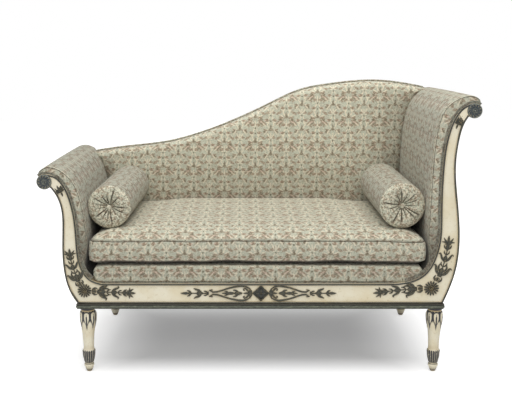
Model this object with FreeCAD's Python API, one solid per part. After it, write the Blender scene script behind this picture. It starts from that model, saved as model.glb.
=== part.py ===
import FreeCAD, Part
import functools
import math
import os

os.makedirs("parts", exist_ok=True)
Vector = FreeCAD.Vector
Y_AXIS = Vector(0, 1, 0)

# A recamier: a painted show-wood frame with two scrolled ends of unequal height, an
# upholstered deck, arms and back, a loose seat cushion and two loose bolsters.
# Lengths are in millimetres. X runs along the seat towards the high end, Y runs from the
# front to the back, and Z is up from the floor.

# Plan of the legs
leg_spacing = 1282.0
leg_depth = 620.0
leg_sides = 16

# Heights that stack up from the floor
leg_height = 252.0
moulding_height = 18.0
rail_height = 76.0
deck_height = 65.0
border_height = 97.0
crown_height = 30.0

# Timber sections
post_thickness = 70.0
rail_thickness = 45.0
moulding_width = 75.0
moulding_reach = 7.0
bead_width = 7.0
recess_depth = 3.0
back_frame_thickness = 30.0
back_frame_gap = 10.0
back_rail_height = 44.0
crest_rail_height = 60.0
back_upright_width = 45.0
arm_rail_width = 28.0
arm_rail_height = 42.0
arm_rail_level = 54.0
end_rail_foot = 36.0

# Joinery
leg_tenon_radius = 13.0
leg_tenon_length = 32.0
leg_tenon_sides = 8
rail_tenon_thickness = 14.0
rail_tenon_height = 40.0
rail_tenon_length = 24.0
scroll_tenon_half = 10.0
scroll_tenon_length = 30.0
arm_rail_tenon_half = 7.0
end_tenon_thickness = 12.0
end_tenon_height = 44.0
end_tenon_length = 20.0
block_reach = 70.0
block_height = 50.0
joint_clearance = 0.2

# Low end
low_rise = 451.0
low_reach = 135.0
low_heel = 28.0
low_scroll_radius = 27.5
low_joint = -41.0
low_deck_gap = 35.0

# High end
high_rise = 705.0
high_reach = 106.0
high_heel = 19.0
high_scroll_radius = 27.0
high_joint = -58.0
high_deck_gap = 15.0

# Back and its crest line
back_pad_thickness = 52.0
back_pad_roll = 24.0
crest_over_low_scroll = 5.5
crest_over_high_scroll = 45.0
piping_size = 8.0

# Upholstery
deck_corner = 27.0
cloth_thickness = 3.5
webbing_thickness = 1.7
webbing_width = 50.0
band_step = 0.5
welt_size = 5.0
arm_pad_set_back = 4.0
arm_pad_roll = 11.0
cushion_corner = 32.0
cushion_draw = 8.0
cushion_play = 1.4
bolster_front = 65.0
bolster_rear = 26.0
bolster_sides = 32
low_bolster_radius = 80.0
high_bolster_radius = 84.0
low_bolster_turn = 1.4
button_radius = 9.0
button_height = 6.0
soft_gap = 0.6
fit_gap = 0.3

# Ornament
ornament_depth = 6.0
ornament_margin = 1.8
rosette_depth = 7.0
patera_radius = 24.0

# Levels and faces that follow from the sizes above
rail_bottom = leg_height + moulding_height
rail_top = rail_bottom + rail_height
deck_top = rail_top + deck_height
front_face = -(leg_depth + post_thickness) / 2
back_face = -front_face
back_frame_front = back_face - back_frame_gap - back_frame_thickness
back_frame_rear = back_frame_front + back_frame_thickness
back_pad_rear = back_frame_front - webbing_thickness - fit_gap
back_pad_front = back_pad_rear - back_pad_thickness
bolster_length = back_pad_front - bolster_rear - front_face - bolster_front
panel_face = front_face + recess_depth
under_sacking = webbing_thickness + band_step + 2 * fit_gap
centre_shift = (low_reach + low_scroll_radius - high_reach - high_scroll_radius) / 2
beyond = 2 * (low_rise + high_rise)


def save(name, *solids):
    """Write one sub-part, with the middle of the overall length over the origin."""
    shape = solids[0] if len(solids) == 1 else Part.makeCompound(list(solids))
    shape = shape.copy()
    shape.translate(Vector(centre_shift, 0, 0))
    shape.exportStep("parts/" + name + ".step")


def box(x, y, z):
    """Box between pairs of limits along each axis."""
    size = [high - low for low, high in (x, y, z)]
    return Part.makeBox(*size, Vector(x[0], y[0], z[0]))


def cylinder(radius, start, end):
    """Round bar between two points."""
    return Part.makeCylinder(radius, (end - start).Length, start, end - start)


def prism(points, direction):
    """Straight-sided solid from the corners of its base."""
    return Part.Face(Part.makePolygon(points + points[:1])).extrude(direction)


def ring(radius, z, sides, depth=0.0):
    """Corners of a level section: even ones stand out and odd ones draw in by a share."""
    corners = []
    for count in range(sides):
        reach = radius * (1 - depth * (count % 2))
        turn = 2 * math.pi * count / sides
        corners.append(Vector(reach * math.cos(turn), reach * math.sin(turn), z))
    return corners


def panes(corners):
    """Flat faces over four corners: one where they lie in a plane, or else two."""
    first, second, third, fourth = corners
    normal = (second - first).cross(third - first).normalize()
    if abs(normal.dot(fourth - first)) < 1e-6:
        return [Part.Face(Part.makePolygon(corners + [first]))]
    halves = ([first, second, third, first], [first, third, fourth, first])
    return [Part.Face(Part.makePolygon(half)) for half in halves]


def faceted(rings):
    """Solid with flat facets that runs through rings of as many corners each."""
    faces = [Part.Face(Part.makePolygon(end + end[:1])) for end in (rings[0], rings[-1])]
    for near, far in zip(rings, rings[1:]):
        for index in range(len(near)):
            faces += panes([near[index - 1], near[index], far[index], far[index - 1]])
    solid = Part.makeSolid(Part.makeShell(faces))
    if solid.Volume < 0:
        solid.reverse()
    return solid


def mirrored(shape, normal):
    """Copy on the other side of a plane through the origin."""
    return shape.mirror(Vector(0, 0, 0), normal)


def rear(shape):
    """The same piece at the back of the frame."""
    return mirrored(shape, Y_AXIS)


def flat(points, y=0.0):
    """Elevation points, along or out and up, as vectors at a depth."""
    return [Vector(along, y, up) for along, up in points]


def directions(points):
    """Direction at each point of the smooth line through points."""
    curve = Part.BSplineCurve()
    curve.interpolate(points)
    return [curve.tangent(curve.parameter(point))[0] for point in points]


def tangent_arc(start, direction, end):
    """Arc between two points that leaves the first in a direction, or a line if it is straight."""
    chord = end - start
    half = chord.Length / 2
    turn = chord.getAngle(direction)
    if half * turn < 0.01:
        return Part.makeLine(start, end)
    side = direction - chord * (direction.dot(chord) / chord.dot(chord))
    middle = (start + end) * 0.5 + side.normalize() * (half * math.tan(turn / 2))
    return Part.Arc(start, middle, end).toShape()


def arc_pair(start, direction, end, end_direction):
    """Two arcs that join two points and meet both directions there without a corner."""
    chord = end - start
    both = direction + end_direction
    slack = 2 * (1 - direction.dot(end_direction))
    if slack < 1e-6:
        reach = chord.dot(chord) / (4 * chord.dot(direction))
    else:
        pull = chord.dot(both)
        reach = (math.sqrt(pull ** 2 + slack * chord.dot(chord)) - pull) / slack
    middle = (start + end + (direction - end_direction) * reach) * 0.5
    return [tangent_arc(start, direction, middle), tangent_arc(end, end_direction * -1, middle)]


def smooth(points):
    """Edges of a smooth line of arcs through points given in order."""
    ways = directions(points)
    edges = []
    for index in range(len(points) - 1):
        edges += arc_pair(points[index], ways[index], points[index + 1], ways[index + 1])
    return edges


def aside(points, distances):
    """Elevation points moved square to the smooth line through them, to its left."""
    spots = flat(points)
    moved_points = []
    for point, way, distance in zip(spots, directions(spots), distances):
        moved_points.append((point.x - way.z * distance, point.z + way.x * distance))
    return moved_points


def at_height(points, height):
    """Where the smooth line through elevation points crosses a height."""
    line = []
    for edge in smooth(flat(points)):
        line += edge.discretize(8)
    crossings = []
    for first, second in zip(line, line[1:]):
        if min(first.z, second.z) <= height <= max(first.z, second.z) and first.z != second.z:
            share = (height - first.z) / (second.z - first.z)
            crossings.append(first.x + share * (second.x - first.x))
    if crossings:
        return crossings[0]
    return min(line, key=lambda point: abs(point.z - height)).x


def outline(*parts):
    """Face inside edges that meet end to end."""
    edges = []
    for part in parts:
        edges += part if isinstance(part, list) else [part]
    return Part.Face(Part.Wire(Part.__sortEdges__(edges)))


class Arm:
    """One scrolled end, in points measured outwards from the leg line and up from the floor.

    outer and inner are the two edges of the post, in shares of the reach and of the rise.
    pad lists the thickness of the padding over the inner edge from station pad_start on, and
    then over the three angles round the scroll.
    """

    scroll_angles = (75, 60, 45)

    def __init__(self, side, rise, reach, heel, radius, joint, outer, inner, pad_start, pad):
        self.side = side
        self.reach = reach
        self.heel = heel
        self.radius = radius
        self.joint = joint
        self.scroll_level = rail_bottom + rise
        self.outer = [(heel, rail_bottom)]
        self.outer += [(reach * u, rail_bottom + rise * v) for u, v in outer]
        self.outer.append(self.on_scroll(-45, side_sign=-1))
        span = rise - rail_height + radius
        self.inner = [(reach * u, rail_top + span * v) for u, v in inner]
        self.pad_start = pad_start
        self.pad = pad

    def on_scroll(self, angle, side_sign=1, extra=0.0):
        """Point on the scroll's rim, at an angle above the outward horizontal."""
        turn = math.radians(angle)
        out = self.reach + side_sign * (self.radius + extra) * math.cos(turn)
        return out, self.scroll_level + (self.radius + extra) * math.sin(turn)

    def x(self, out):
        return self.side * (leg_spacing / 2 + out)

    def place(self, points, y):
        """Arm points as corners in the plane at y."""
        return [Vector(self.x(out), y, up) for out, up in points]

    def curve(self, points, y):
        return smooth(self.place(points, y))

    def line(self, start, end, y):
        return Part.makeLine(*self.place([start, end], y))

    def core(self):
        """Points inside the wood from the foot of the padding to the scroll's centre."""
        inner = self.inner[self.pad_start:-2]
        core = []
        for out, up in inner:
            outer = at_height(self.outer, min(up, self.outer[-1][1]))
            core.append(((out + outer) / 2, up))
        return [point for point in core if point[1] < self.outer[-1][1]]

    def wood_section(self, grow, y):
        """Section of the post and its scroll, grown on the seat side."""
        inner = aside(self.inner, [grow] * len(self.inner))
        return outline(
            self.curve(self.outer, y),
            self.line(self.outer[-1], inner[-1], y),
            self.curve(inner, y),
            self.line(inner[0], self.outer[0], y))

    def wood_block(self, grow, start, end):
        """The post's section run from one depth to another."""
        block = self.wood_section(grow, start).extrude(Vector(0, end - start, 0))
        return block.fuse(self.scroll(self.radius + grow, start, end))

    def scroll(self, radius, start, end):
        """Round bar on the scroll's centre line."""
        centre = (self.reach, self.scroll_level)
        return cylinder(radius, *self.place([centre], start), *self.place([centre], end))

    def pad_edge(self, less=0.0):
        """Outer line of the padding, or a line nearer to the wood."""
        thickness = [max(value - less, 2.0) for value in self.pad]
        inner = self.inner[self.pad_start:]
        line = aside(self.inner, [0.0] * self.pad_start + thickness[:len(inner)])
        line = line[self.pad_start:]
        for angle, extra in zip(self.scroll_angles, thickness[len(inner):]):
            line.append(self.on_scroll(angle, extra=extra))
        return line

    def pad_wire(self, y, less=0.0):
        edge = self.pad_edge(less)
        back = [edge[-1], (self.reach, self.scroll_level)] + list(reversed(self.core())) + [edge[0]]
        return Part.Wire(self.curve(edge, y) + Part.makePolygon(self.place(back, y)).Edges)

    def pad_face(self, height):
        """How far out the padding's inner face stands at a height."""
        return at_height(self.pad_edge(), height)


low_arm = Arm(
    side=-1, rise=low_rise, reach=low_reach, heel=low_heel, radius=low_scroll_radius,
    joint=low_joint,
    outer=[(0.41, 0.100), (0.56, 0.282), (0.585, 0.40), (0.563, 0.612), (0.60, 0.812), (0.75, 0.916)],
    inner=[(-0.43, 0.0), (-0.156, 0.037), (0.0, 0.094), (0.111, 0.179), (0.163, 0.286),
           (0.193, 0.497), (0.252, 0.666), (0.356, 0.805), (0.511, 0.914), (0.741, 0.984), (1.0, 1.0)],
    pad_start=2,
    pad=[5.0, 16.0, 30.0, 34.0, 33.0, 34.0, 32.0, 29.0, 23.0, 18.0, 13.0, 4.0])

high_arm = Arm(
    side=1, rise=high_rise, reach=high_reach, heel=high_heel, radius=high_scroll_radius,
    joint=high_joint,
    outer=[(0.33, 0.054), (0.594, 0.183), (0.68, 0.312), (0.594, 0.504), (0.453, 0.745),
           (0.528, 0.852), (0.708, 0.945)],
    inner=[(-1.51, 0.0), (-1.113, 0.008), (-0.764, 0.025), (-0.472, 0.056), (-0.255, 0.104),
           (-0.104, 0.168), (-0.019, 0.233), (0.0, 0.387), (0.009, 0.643), (0.075, 0.767),
           (0.208, 0.863), (0.443, 0.944), (0.755, 0.989), (1.0, 1.0)],
    pad_start=3,
    pad=[5.0, 12.0, 26.0, 38.0, 39.0, 35.0, 37.0, 42.0, 43.0, 33.0, 24.0, 20.0, 15.0, 5.0])

arms = {"low": low_arm, "high": high_arm}


def frame_outline(y):
    """Front elevation of both posts and the rail between them, as one face."""
    parts = []
    for arm in arms.values():
        parts.append(arm.curve(arm.outer, y))
        parts.append(arm.line(arm.outer[-1], arm.inner[-1], y))
        parts.append(arm.curve(arm.inner, y))
    for row in (low_arm.outer, low_arm.inner):
        across = high_arm.outer if row is low_arm.outer else high_arm.inner
        parts.append(Part.makeLine(*low_arm.place(row[:1], y), *high_arm.place(across[:1], y)))
    return outline(*parts)


def panel_outline(y):
    """The sunk panel inside the raised beads, from neck to neck."""
    parts = []
    feet = []
    tops = []
    for arm in arms.values():
        outer = aside(arm.outer, [bead_width] * len(arm.outer))[:-1]
        inner = aside(arm.inner, [-bead_width] * len(arm.inner))[:-2]
        parts.append(arm.curve(outer, y))
        parts.append(arm.curve(inner, y))
        parts.append(arm.line(outer[-1], inner[-1], y))
        feet += arm.place(outer[:1], y)
        tops += arm.place(inner[:1], y)
    return outline(Part.makeLine(*feet), Part.makeLine(*tops), *parts)


@functools.lru_cache(maxsize=None)
def frame_board(carved):
    """Both front posts and the front rail before they are parted at their joints."""
    board = frame_outline(front_face).extrude(Vector(0, post_thickness, 0))
    for arm in arms.values():
        board = board.fuse(arm.scroll(arm.radius, front_face, front_face + post_thickness))
    if carved:
        panel = panel_outline(front_face).extrude(Vector(0, recess_depth, 0))
        above_bead = box((-beyond, beyond), (front_face, panel_face), (rail_bottom + bead_width, beyond))
        board = board.cut(panel.common(above_bead))
    return board


def leg_tenon(arm, clearance):
    """Tenon of the front leg, through the moulding and into the post."""
    top = leg_height + moulding_height + leg_tenon_length + clearance
    peg = tenon_peg(-leg_depth / 2, leg_height - 1, top, clearance)
    peg.translate(Vector(arm.x(0), 0, 0))
    return peg


def rail_tenon(arm, clearance):
    """Flat tenon at one end of the front rail."""
    middle_y = front_face + rail_thickness / 2
    middle_z = rail_bottom + rail_height / 2
    x = sorted((arm.x(arm.joint - 1), arm.x(arm.joint + rail_tenon_length + clearance)))
    half = rail_tenon_thickness / 2 + clearance
    tall = rail_tenon_height / 2 + clearance
    return box(x, (middle_y - half, middle_y + half), (middle_z - tall, middle_z + tall))


def square_tenon(x, z, half):
    """Square tenon in the front post for a bar that runs from front to back."""
    inside = front_face + post_thickness
    return box((x - half, x + half), (inside - scroll_tenon_length, inside + 1), (z - half, z + half))


def scroll_tenon(arm, clearance):
    return square_tenon(arm.x(arm.reach), arm.scroll_level, scroll_tenon_half + clearance)


def end_tenon(arm, clearance):
    """Flat tenon at the front end of an end rail."""
    up = rail_bottom + rail_height / 2
    out = arm.heel - end_rail_foot + end_tenon_thickness
    half = end_tenon_thickness / 2 + clearance
    tall = end_tenon_height / 2 + clearance
    inside = front_face + post_thickness
    x = (arm.x(out) - half, arm.x(out) + half)
    y = (inside - end_tenon_length - clearance, inside + 1)
    return box(x, y, (up - tall, up + tall))


def arm_rail_section(arm, inset):
    """Corners of the lower arm rail behind the arm's sacking."""
    foot = rail_top + arm_rail_level
    heights = (foot, foot + arm_rail_height)
    inner = aside(arm.inner, [-inset] * len(arm.inner))
    outs = [at_height(inner, up) for up in heights]
    hollow = at_height(inner, sum(heights) / 2) - sum(outs) / 2
    near = [(out + max(hollow, 0.0), up) for out, up in zip(outs, heights)]
    return near + [(out + arm_rail_width, up) for out, up in reversed(near)]


def arm_rail_tenon(arm, clearance):
    """Square tenon of the lower arm rail in the front post."""
    corners = arm_rail_section(arm, under_sacking)
    out = sum(corner[0] for corner in corners) / 4
    up = sum(corner[1] for corner in corners) / 4
    return square_tenon(arm.x(out), up, arm_rail_tenon_half + clearance)


def cut_all(shape, tools):
    for tool in tools:
        shape = shape.cut(tool)
    return shape


def largest(shape):
    """The main piece of a cut, without the slivers left outside it."""
    return max(shape.Solids, key=lambda solid: solid.Volume)


def both_ends(tools):
    """Tools for the front and for the back of a piece that runs from front to back."""
    return tools + [rear(tool) for tool in tools]


def post(arm, carved):
    """One scrolled post, cut from the front board at the joint with the rail."""
    joint = arm.x(arm.joint)
    x = sorted((joint, arm.side * beyond))
    blank = frame_board(carved).common(box(x, (-beyond, beyond), (0, beyond)))
    tenons = (leg_tenon, rail_tenon, end_tenon, scroll_tenon, arm_rail_tenon)
    return cut_all(blank, [tenon(arm, joint_clearance) for tenon in tenons])


def rail(carved):
    """The rail between the posts, with a tenon at each end."""
    x = (low_arm.x(low_arm.joint), high_arm.x(high_arm.joint))
    limits = box(x, (front_face, front_face + rail_thickness), (0, beyond))
    blank = frame_board(carved).common(limits)
    for arm in arms.values():
        blank = blank.fuse(rail_tenon(arm, 0.0))
    return blank.removeSplitter()


def with_tenons(bar, tenon):
    """A bar from front to back with the same tenon at each end."""
    for piece in both_ends([tenon]):
        bar = bar.fuse(piece)
    return bar.removeSplitter()


def end_rail(arm):
    """Rail from the front post to the rear post, shaped to the post's outer line."""
    low = at_height(arm.outer, rail_bottom)
    high = at_height(arm.outer, rail_top)
    near = arm.heel - end_rail_foot
    start = front_face + post_thickness
    corners = [(near, rail_bottom), (low, rail_bottom), (high, rail_top), (near, rail_top)]
    return with_tenons(prism(arm.place(corners, start), Vector(0, -2 * start, 0)), end_tenon(arm, 0.0))


def scroll_rail(arm):
    """Round bar from scroll to scroll, with a tenon at each end."""
    start = front_face + post_thickness
    bar = arm.scroll(arm.radius - under_sacking, start, -start)
    return with_tenons(bar, scroll_tenon(arm, 0.0))


def arm_rail(arm):
    """Lower rail of an arm, where its sacking is tacked."""
    start = front_face + post_thickness
    corners = arm_rail_section(arm, under_sacking)
    return with_tenons(prism(arm.place(corners, start), Vector(0, -2 * start, 0)), arm_rail_tenon(arm, 0.0))


def corner_block(arm):
    """Glue block in the corner of rail, post and end rail."""
    near = arm.x(arm.heel - end_rail_foot)
    joint = arm.x(arm.joint)
    far = arm.x(arm.joint - block_reach)
    post_back = front_face + post_thickness
    rail_back = front_face + rail_thickness
    z = rail_bottom + (rail_height - block_height) / 2
    plan = [(near, post_back), (joint, post_back), (joint, rail_back), (far, rail_back),
            (near, post_back + block_reach)]
    return prism([Vector(x, y, z) for x, y in plan], Vector(0, 0, block_height))


def moulding_profile():
    """Base moulding: a flat fascia under a half-round nose, as reach beyond the rail and height."""
    fascia = moulding_height * 0.55
    return [(-moulding_width, leg_height), (moulding_reach * 0.55, leg_height),
            (moulding_reach * 0.55, leg_height + fascia), (moulding_reach, leg_height + fascia + 2),
            (moulding_reach, rail_bottom - 2.5), (moulding_reach - 2.5, rail_bottom),
            (-moulding_width, rail_bottom)]


def rail_corners():
    """Corners of the rails in plan, in turn from the low front corner."""
    low = low_arm.x(low_arm.heel)
    high = high_arm.x(high_arm.heel)
    plan = [(low, front_face), (high, front_face), (high, back_face), (low, back_face)]
    return [Vector(x, y, 0) for x, y in plan]


def moulding(start, end):
    """Strip of moulding along one side of the rails, mitred at both corners."""
    along = (end - start).normalize()
    out = Vector(along.y, -along.x, 0)
    tip = start - along * moulding_reach
    section = [tip + out * reach + Vector(0, 0, up) for reach, up in moulding_profile()]
    strip = prism(section, along * ((end - start).Length + 2 * moulding_reach))
    plan = []
    for corner, reach, sign in ((start, moulding_reach, -1), (end, moulding_reach, 1),
                                (end, moulding_reach - moulding_width, 1),
                                (start, moulding_reach - moulding_width, -1)):
        plan.append(corner + out * reach + along * (sign * reach) + Vector(0, 0, leg_height))
    strip = strip.common(prism(plan, Vector(0, 0, moulding_height)))
    return cut_all(strip, both_ends([leg_tenon(arm, joint_clearance) for arm in arms.values()]))


def leg():
    """Carved leg: foot, fluted cuff, tapering shaft, leafy bulb and collar, with its tenon.

    Each row gives the radius, the height and how deep the carving draws in, as a share.
    """
    profile = [
        (9.0, 0.0, 0.0), (15.0, 15.0, 0.0), (18.2, 25.0, 0.0), (14.5, 32.0, 0.0), (19.9, 53.0, 0.11),
        (22.2, 74.0, 0.11), (20.0, 87.0, 0.0), (19.8, 103.0, 0.0), (23.0, 143.0, 0.0),
        (26.8, 163.0, 0.05), (31.0, 183.0, 0.07), (31.7, 205.0, 0.05), (26.0, 224.0, 0.0),
        (25.5, 236.0, 0.0), (26.5, 240.0, 0.0), (26.5, 252.0, 0.0)]
    full = profile[-1][1]
    rings = [ring(radius, up * leg_height / full, leg_sides, depth) for radius, up, depth in profile]
    shaft = faceted(rings)
    return shaft.fuse(tenon_peg(0, leg_height - 1, leg_height + moulding_height + leg_tenon_length, 0.0))


def tenon_peg(y, start, end, clearance):
    """Eight-sided peg on the axis of a leg."""
    peg = prism(ring(leg_tenon_radius + clearance, start, leg_tenon_sides), Vector(0, 0, end - start))
    peg.translate(Vector(0, y, 0))
    return peg


def moved(shape, x, y, z):
    shape = shape.copy()
    shape.translate(Vector(x, y, z))
    return shape


# The line of the crest, in shares of the leg spacing and of its rise from end to end
crest_shares = [
    (-0.085, -0.06), (0.066, 0.035), (0.184, 0.096), (0.303, 0.232), (0.538, 0.666), (0.638, 0.863),
    (0.738, 0.949), (0.888, 1.0), (1.085, 0.87)]


def crest_points(drop):
    """Crest line from the low end to the high end, lowered by a drop."""
    low = low_arm.scroll_level + low_arm.radius + crest_over_low_scroll
    high = high_arm.scroll_level + high_arm.radius + crest_over_high_scroll
    points = []
    for along, up in crest_shares:
        points.append((leg_spacing * (along - 0.5), low + (high - low) * up - drop))
    return points


def under_crest(drop, bottom, y):
    """Region between the posts below the crest line, as a closed wire."""
    points = flat(crest_points(drop), y)
    ends = [points[-1], Vector(points[-1].x, y, bottom), Vector(points[0].x, y, bottom), points[0]]
    return Part.Wire(smooth(points) + Part.makePolygon(ends).Edges)


def back_slab(drop, bottom, start, end):
    return Part.Face(under_crest(drop, bottom, start)).extrude(Vector(0, end - start, 0))


@functools.lru_cache(maxsize=None)
def post_spaces(grow):
    """What both arms' posts fill, run through the whole depth."""
    return [arm.wood_block(grow, -beyond, beyond) for arm in arms.values()]


def back_opening():
    """Space of the back frame between the rear posts."""
    slab = back_slab(0.0, rail_top + fit_gap, back_frame_front - fit_gap, back_face + 1)
    return cut_all(slab, post_spaces(0.0))


@functools.lru_cache(maxsize=None)
def arm_pad(arm):
    """Padding of one arm: over the inner edges of its posts and round the scroll."""
    front = front_face + arm_pad_set_back
    full = front + arm_pad_roll
    roll = Part.makeLoft([arm.pad_wire(front, arm_pad_roll), arm.pad_wire(full)], True, True)
    length = Vector(0, back_face - arm_pad_set_back - full, 0)
    blank = roll.fuse(Part.Face(arm.pad_wire(full)).extrude(length))
    blank = blank.cut(arm.wood_block(fit_gap, front - 1, back_face))
    return largest(blank.cut(back_opening()))


def band(arm, points, thickness, start, end):
    """Strip of cloth of even thickness laid along an edge of an arm, in short straight steps."""
    near = Part.Wire(arm.curve(points, start)).discretize(QuasiDeflection=band_step)
    far_points = aside([(arm.side * point.x, point.z) for point in near], [thickness] * len(near))
    far = [Vector(arm.side * along, start, up) for along, up in far_points]
    return prism(near + list(reversed(far)), Vector(0, end - start, 0))


def arm_hessian(arm):
    """Sacking from the lower arm rail up and over the scroll rail, under the padding."""
    under = aside(arm.inner, [-webbing_thickness - fit_gap] * len(arm.inner))
    foot = rail_top + arm_rail_level
    path = [point for point in under if point[1] > foot + 1]
    path.insert(0, (at_height(under, foot), foot))
    inside = back_face - post_thickness - fit_gap
    return band(arm, path, webbing_thickness, -inside, inside)


def arm_outside(arm):
    """Cloth panel on the outside of an arm, between the posts."""
    path = [(at_height(arm.outer, rail_top), rail_top)]
    path += [point for point in arm.outer if point[1] > rail_top + 20]
    inset = aside(path, [fit_gap + 1] * len(path))
    inside = back_face - post_thickness - fit_gap
    return band(arm, inset, cloth_thickness, -inside, inside).cut(scroll_rail(arm))


def arm_welt(arm):
    """Double welt on the seam of an arm pad along the wood."""
    path = aside(arm.inner, [fit_gap + band_step] * len(arm.inner))[arm.pad_start - 1:]
    back = front_face + arm_pad_set_back
    return band(arm, path, welt_size, back - welt_size, back - fit_gap)


def deck_limits():
    """Ends of the deck, along the seat."""
    height = deck_top - deck_corner / 2
    low = low_arm.x(at_height(low_arm.inner, height)) + low_deck_gap
    high = high_arm.x(at_height(high_arm.inner, height)) - high_deck_gap
    return low, high


def rounded_slab(x, z, corner, start, end):
    """Board with rounded corners in elevation, run from one depth to another."""
    blank = box(x, (start, end), z)
    edges = [edge for edge in blank.Edges if abs(edge.tangentAt(edge.FirstParameter).y) > 0.9]
    return blank.makeFillet(corner, edges)


def seat_deck():
    """Stuffed platform over the rails, hollowed underneath for its webbing."""
    front = front_face + 2 * arm_pad_set_back
    low, high = deck_limits()
    blank = rounded_slab((low, high), (rail_top, deck_top), deck_corner, front, back_frame_rear)
    blank = cut_all(blank, post_spaces(welt_size + 2 * fit_gap) + post_spaces(0.0))
    pocket_z = (rail_top - 1, rail_top + 2 * webbing_thickness + 2 * fit_gap)
    inside = front_face + rail_thickness / 3
    pocket = box((low + deck_corner, high - deck_corner), (inside, -inside), pocket_z)
    return blank.cut(pocket)


def deck_welt():
    """Piping between the deck and the rail."""
    back = front_face + 2 * arm_pad_set_back
    x = (low_arm.x(low_arm.inner[0][0]), high_arm.x(high_arm.inner[0][0]))
    return box(x, (back - welt_size - fit_gap, back - fit_gap), (rail_top, rail_top + welt_size))


def spread(count, start, end, width):
    """Even places for strips of a width between two limits."""
    gap = (end - start - count * width) / (count + 1)
    return [start + gap + index * (width + gap) for index in range(count)]


def seat_webbing_cross():
    """Straps from the front rail to the rear rail."""
    low, high = deck_limits()
    inside = front_face + rail_thickness / 2
    z = (rail_top, rail_top + webbing_thickness)
    places = spread(11, low + 2 * deck_corner, high_arm.x(high_arm.inner[0][0]), webbing_width)
    return [box((x, x + webbing_width), (inside, -inside), z) for x in places]


def seat_webbing_long():
    """Straps from end to end, over the cross straps."""
    low, high = deck_limits()
    z = (rail_top + webbing_thickness, rail_top + 2 * webbing_thickness)
    inside = front_face + rail_thickness
    x = (low + 2 * deck_corner, high_arm.x(high_arm.inner[0][0]))
    return [box(x, (y, y + webbing_width), z) for y in spread(6, inside, -inside, webbing_width)]


def dust_cover():
    """Cloth tacked under the moulding, closing the seat from below."""
    overlap = 10.0
    x = (low_arm.x(low_arm.heel + moulding_reach - moulding_width) - overlap,
         high_arm.x(high_arm.heel + moulding_reach - moulding_width) + overlap)
    half = back_face + moulding_reach - moulding_width + overlap
    return box(x, (-half, half), (leg_height - webbing_thickness, leg_height))


def back_band(top, bottom, start, end):
    """Board between the crest line lowered by top and the same line lowered by bottom."""
    upper = flat(crest_points(top), start)
    lower = flat(crest_points(bottom), start)
    face = outline(
        smooth(upper), Part.makeLine(upper[-1], lower[-1]),
        smooth(lower), Part.makeLine(lower[0], upper[0]))
    return face.extrude(Vector(0, end - start, 0))


def crest_rail():
    """Shaped top rail of the back, between the rear posts."""
    board = back_band(0.0, crest_rail_height, back_frame_front, back_frame_rear)
    return largest(cut_all(board, post_spaces(0.0)))


def back_lower_rail():
    """Bottom rail of the back frame, on the deck's level."""
    z = (deck_top + fit_gap, deck_top + fit_gap + back_rail_height)
    board = box((-leg_spacing, leg_spacing), (back_frame_front, back_frame_rear), z)
    reach = leg_spacing / 2
    return cut_all(board, post_spaces(0.0)).common(box((-reach, reach), (-beyond, beyond), (0, beyond)))


def back_upright(share):
    """Upright from the lower rail to the crest rail, at a share of the leg spacing."""
    foot = deck_top + fit_gap + back_rail_height
    field = back_slab(crest_rail_height, foot, back_frame_front, back_frame_rear)
    middle = leg_spacing * share
    half = back_upright_width / 2
    x = (middle - half, middle + half)
    return box(x, (back_frame_front, back_frame_rear), (foot, beyond)).common(field)


def back_webbing():
    """Straps on the front of the back frame."""
    foot = deck_top + fit_gap + back_rail_height / 3
    rear_y = back_frame_front - fit_gap / 2
    field = back_slab(crest_rail_height / 2, foot, rear_y - webbing_thickness, rear_y)
    straps = []
    inside = leg_spacing / 2 - 2 * webbing_width
    for x in spread(9, -inside, inside, webbing_width):
        column = box((x, x + webbing_width), (-beyond, beyond), (foot, beyond))
        straps.append(column.common(field))
    return straps


def back_pad():
    """Padding of the back, rolled over at the crest and bounded by the arm pads."""
    bottom = deck_top + fit_gap
    roll = back_pad_roll
    steps = [(0.0, 1.0), (0.3, 0.3), (1.0, 0.0)]
    wires = [under_crest(roll * drop, bottom, back_pad_front + roll * depth) for depth, drop in steps]
    wires.append(under_crest(0.0, bottom, back_pad_rear))
    blank = Part.makeLoft(wires, True, True)
    blank = cut_all(blank, post_spaces(fit_gap))
    blank = cut_all(blank, [arm_pad(arm) for arm in arms.values()])
    return largest(blank)


def back_outside():
    """Cloth panel that closes the back from behind."""
    start = back_frame_rear + fit_gap
    slab = back_slab(fit_gap, rail_top + fit_gap, start, start + cloth_thickness)
    return largest(cut_all(slab, post_spaces(fit_gap)))


def back_piping():
    """Piping along the crest."""
    middle = back_frame_front - piping_size / 2
    cord = back_band(-piping_size, 0.0, middle - piping_size / 2, middle + piping_size / 2)
    return largest(cut_all(cord, [arm_pad(arm) for arm in arms.values()]))


def cushion_limits():
    """Ends of the loose cushion, clear of both arm pads over the height of its border."""
    ends = []
    for arm in arms.values():
        steps = [deck_top + border_height * share for share in (0.15, 0.5, 0.85, 1.2, 1.8, 3.0)]
        face = min(arm.pad_face(height) for height in steps)
        ends.append(arm.x(face) - arm.side * cushion_play)
    return ends


def cushion_side(half, reach, inset):
    """Points of the front of a level section, drawn in towards its middle, and of the corner after it."""
    straight = half - inset - cushion_corner
    draw = cushion_draw * straight / (half - cushion_corner)
    points = []
    for step in range(-3, 3):
        share = step / 3
        points.append((share * straight, draw * (1 - share ** 2) - reach + inset))
    for angle in (-90, -67.5, -45, -22.5):
        turn = math.radians(angle)
        points.append((straight + cushion_corner * math.cos(turn),
                       inset - reach + cushion_corner * (1 + math.sin(turn))))
    return points


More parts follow.
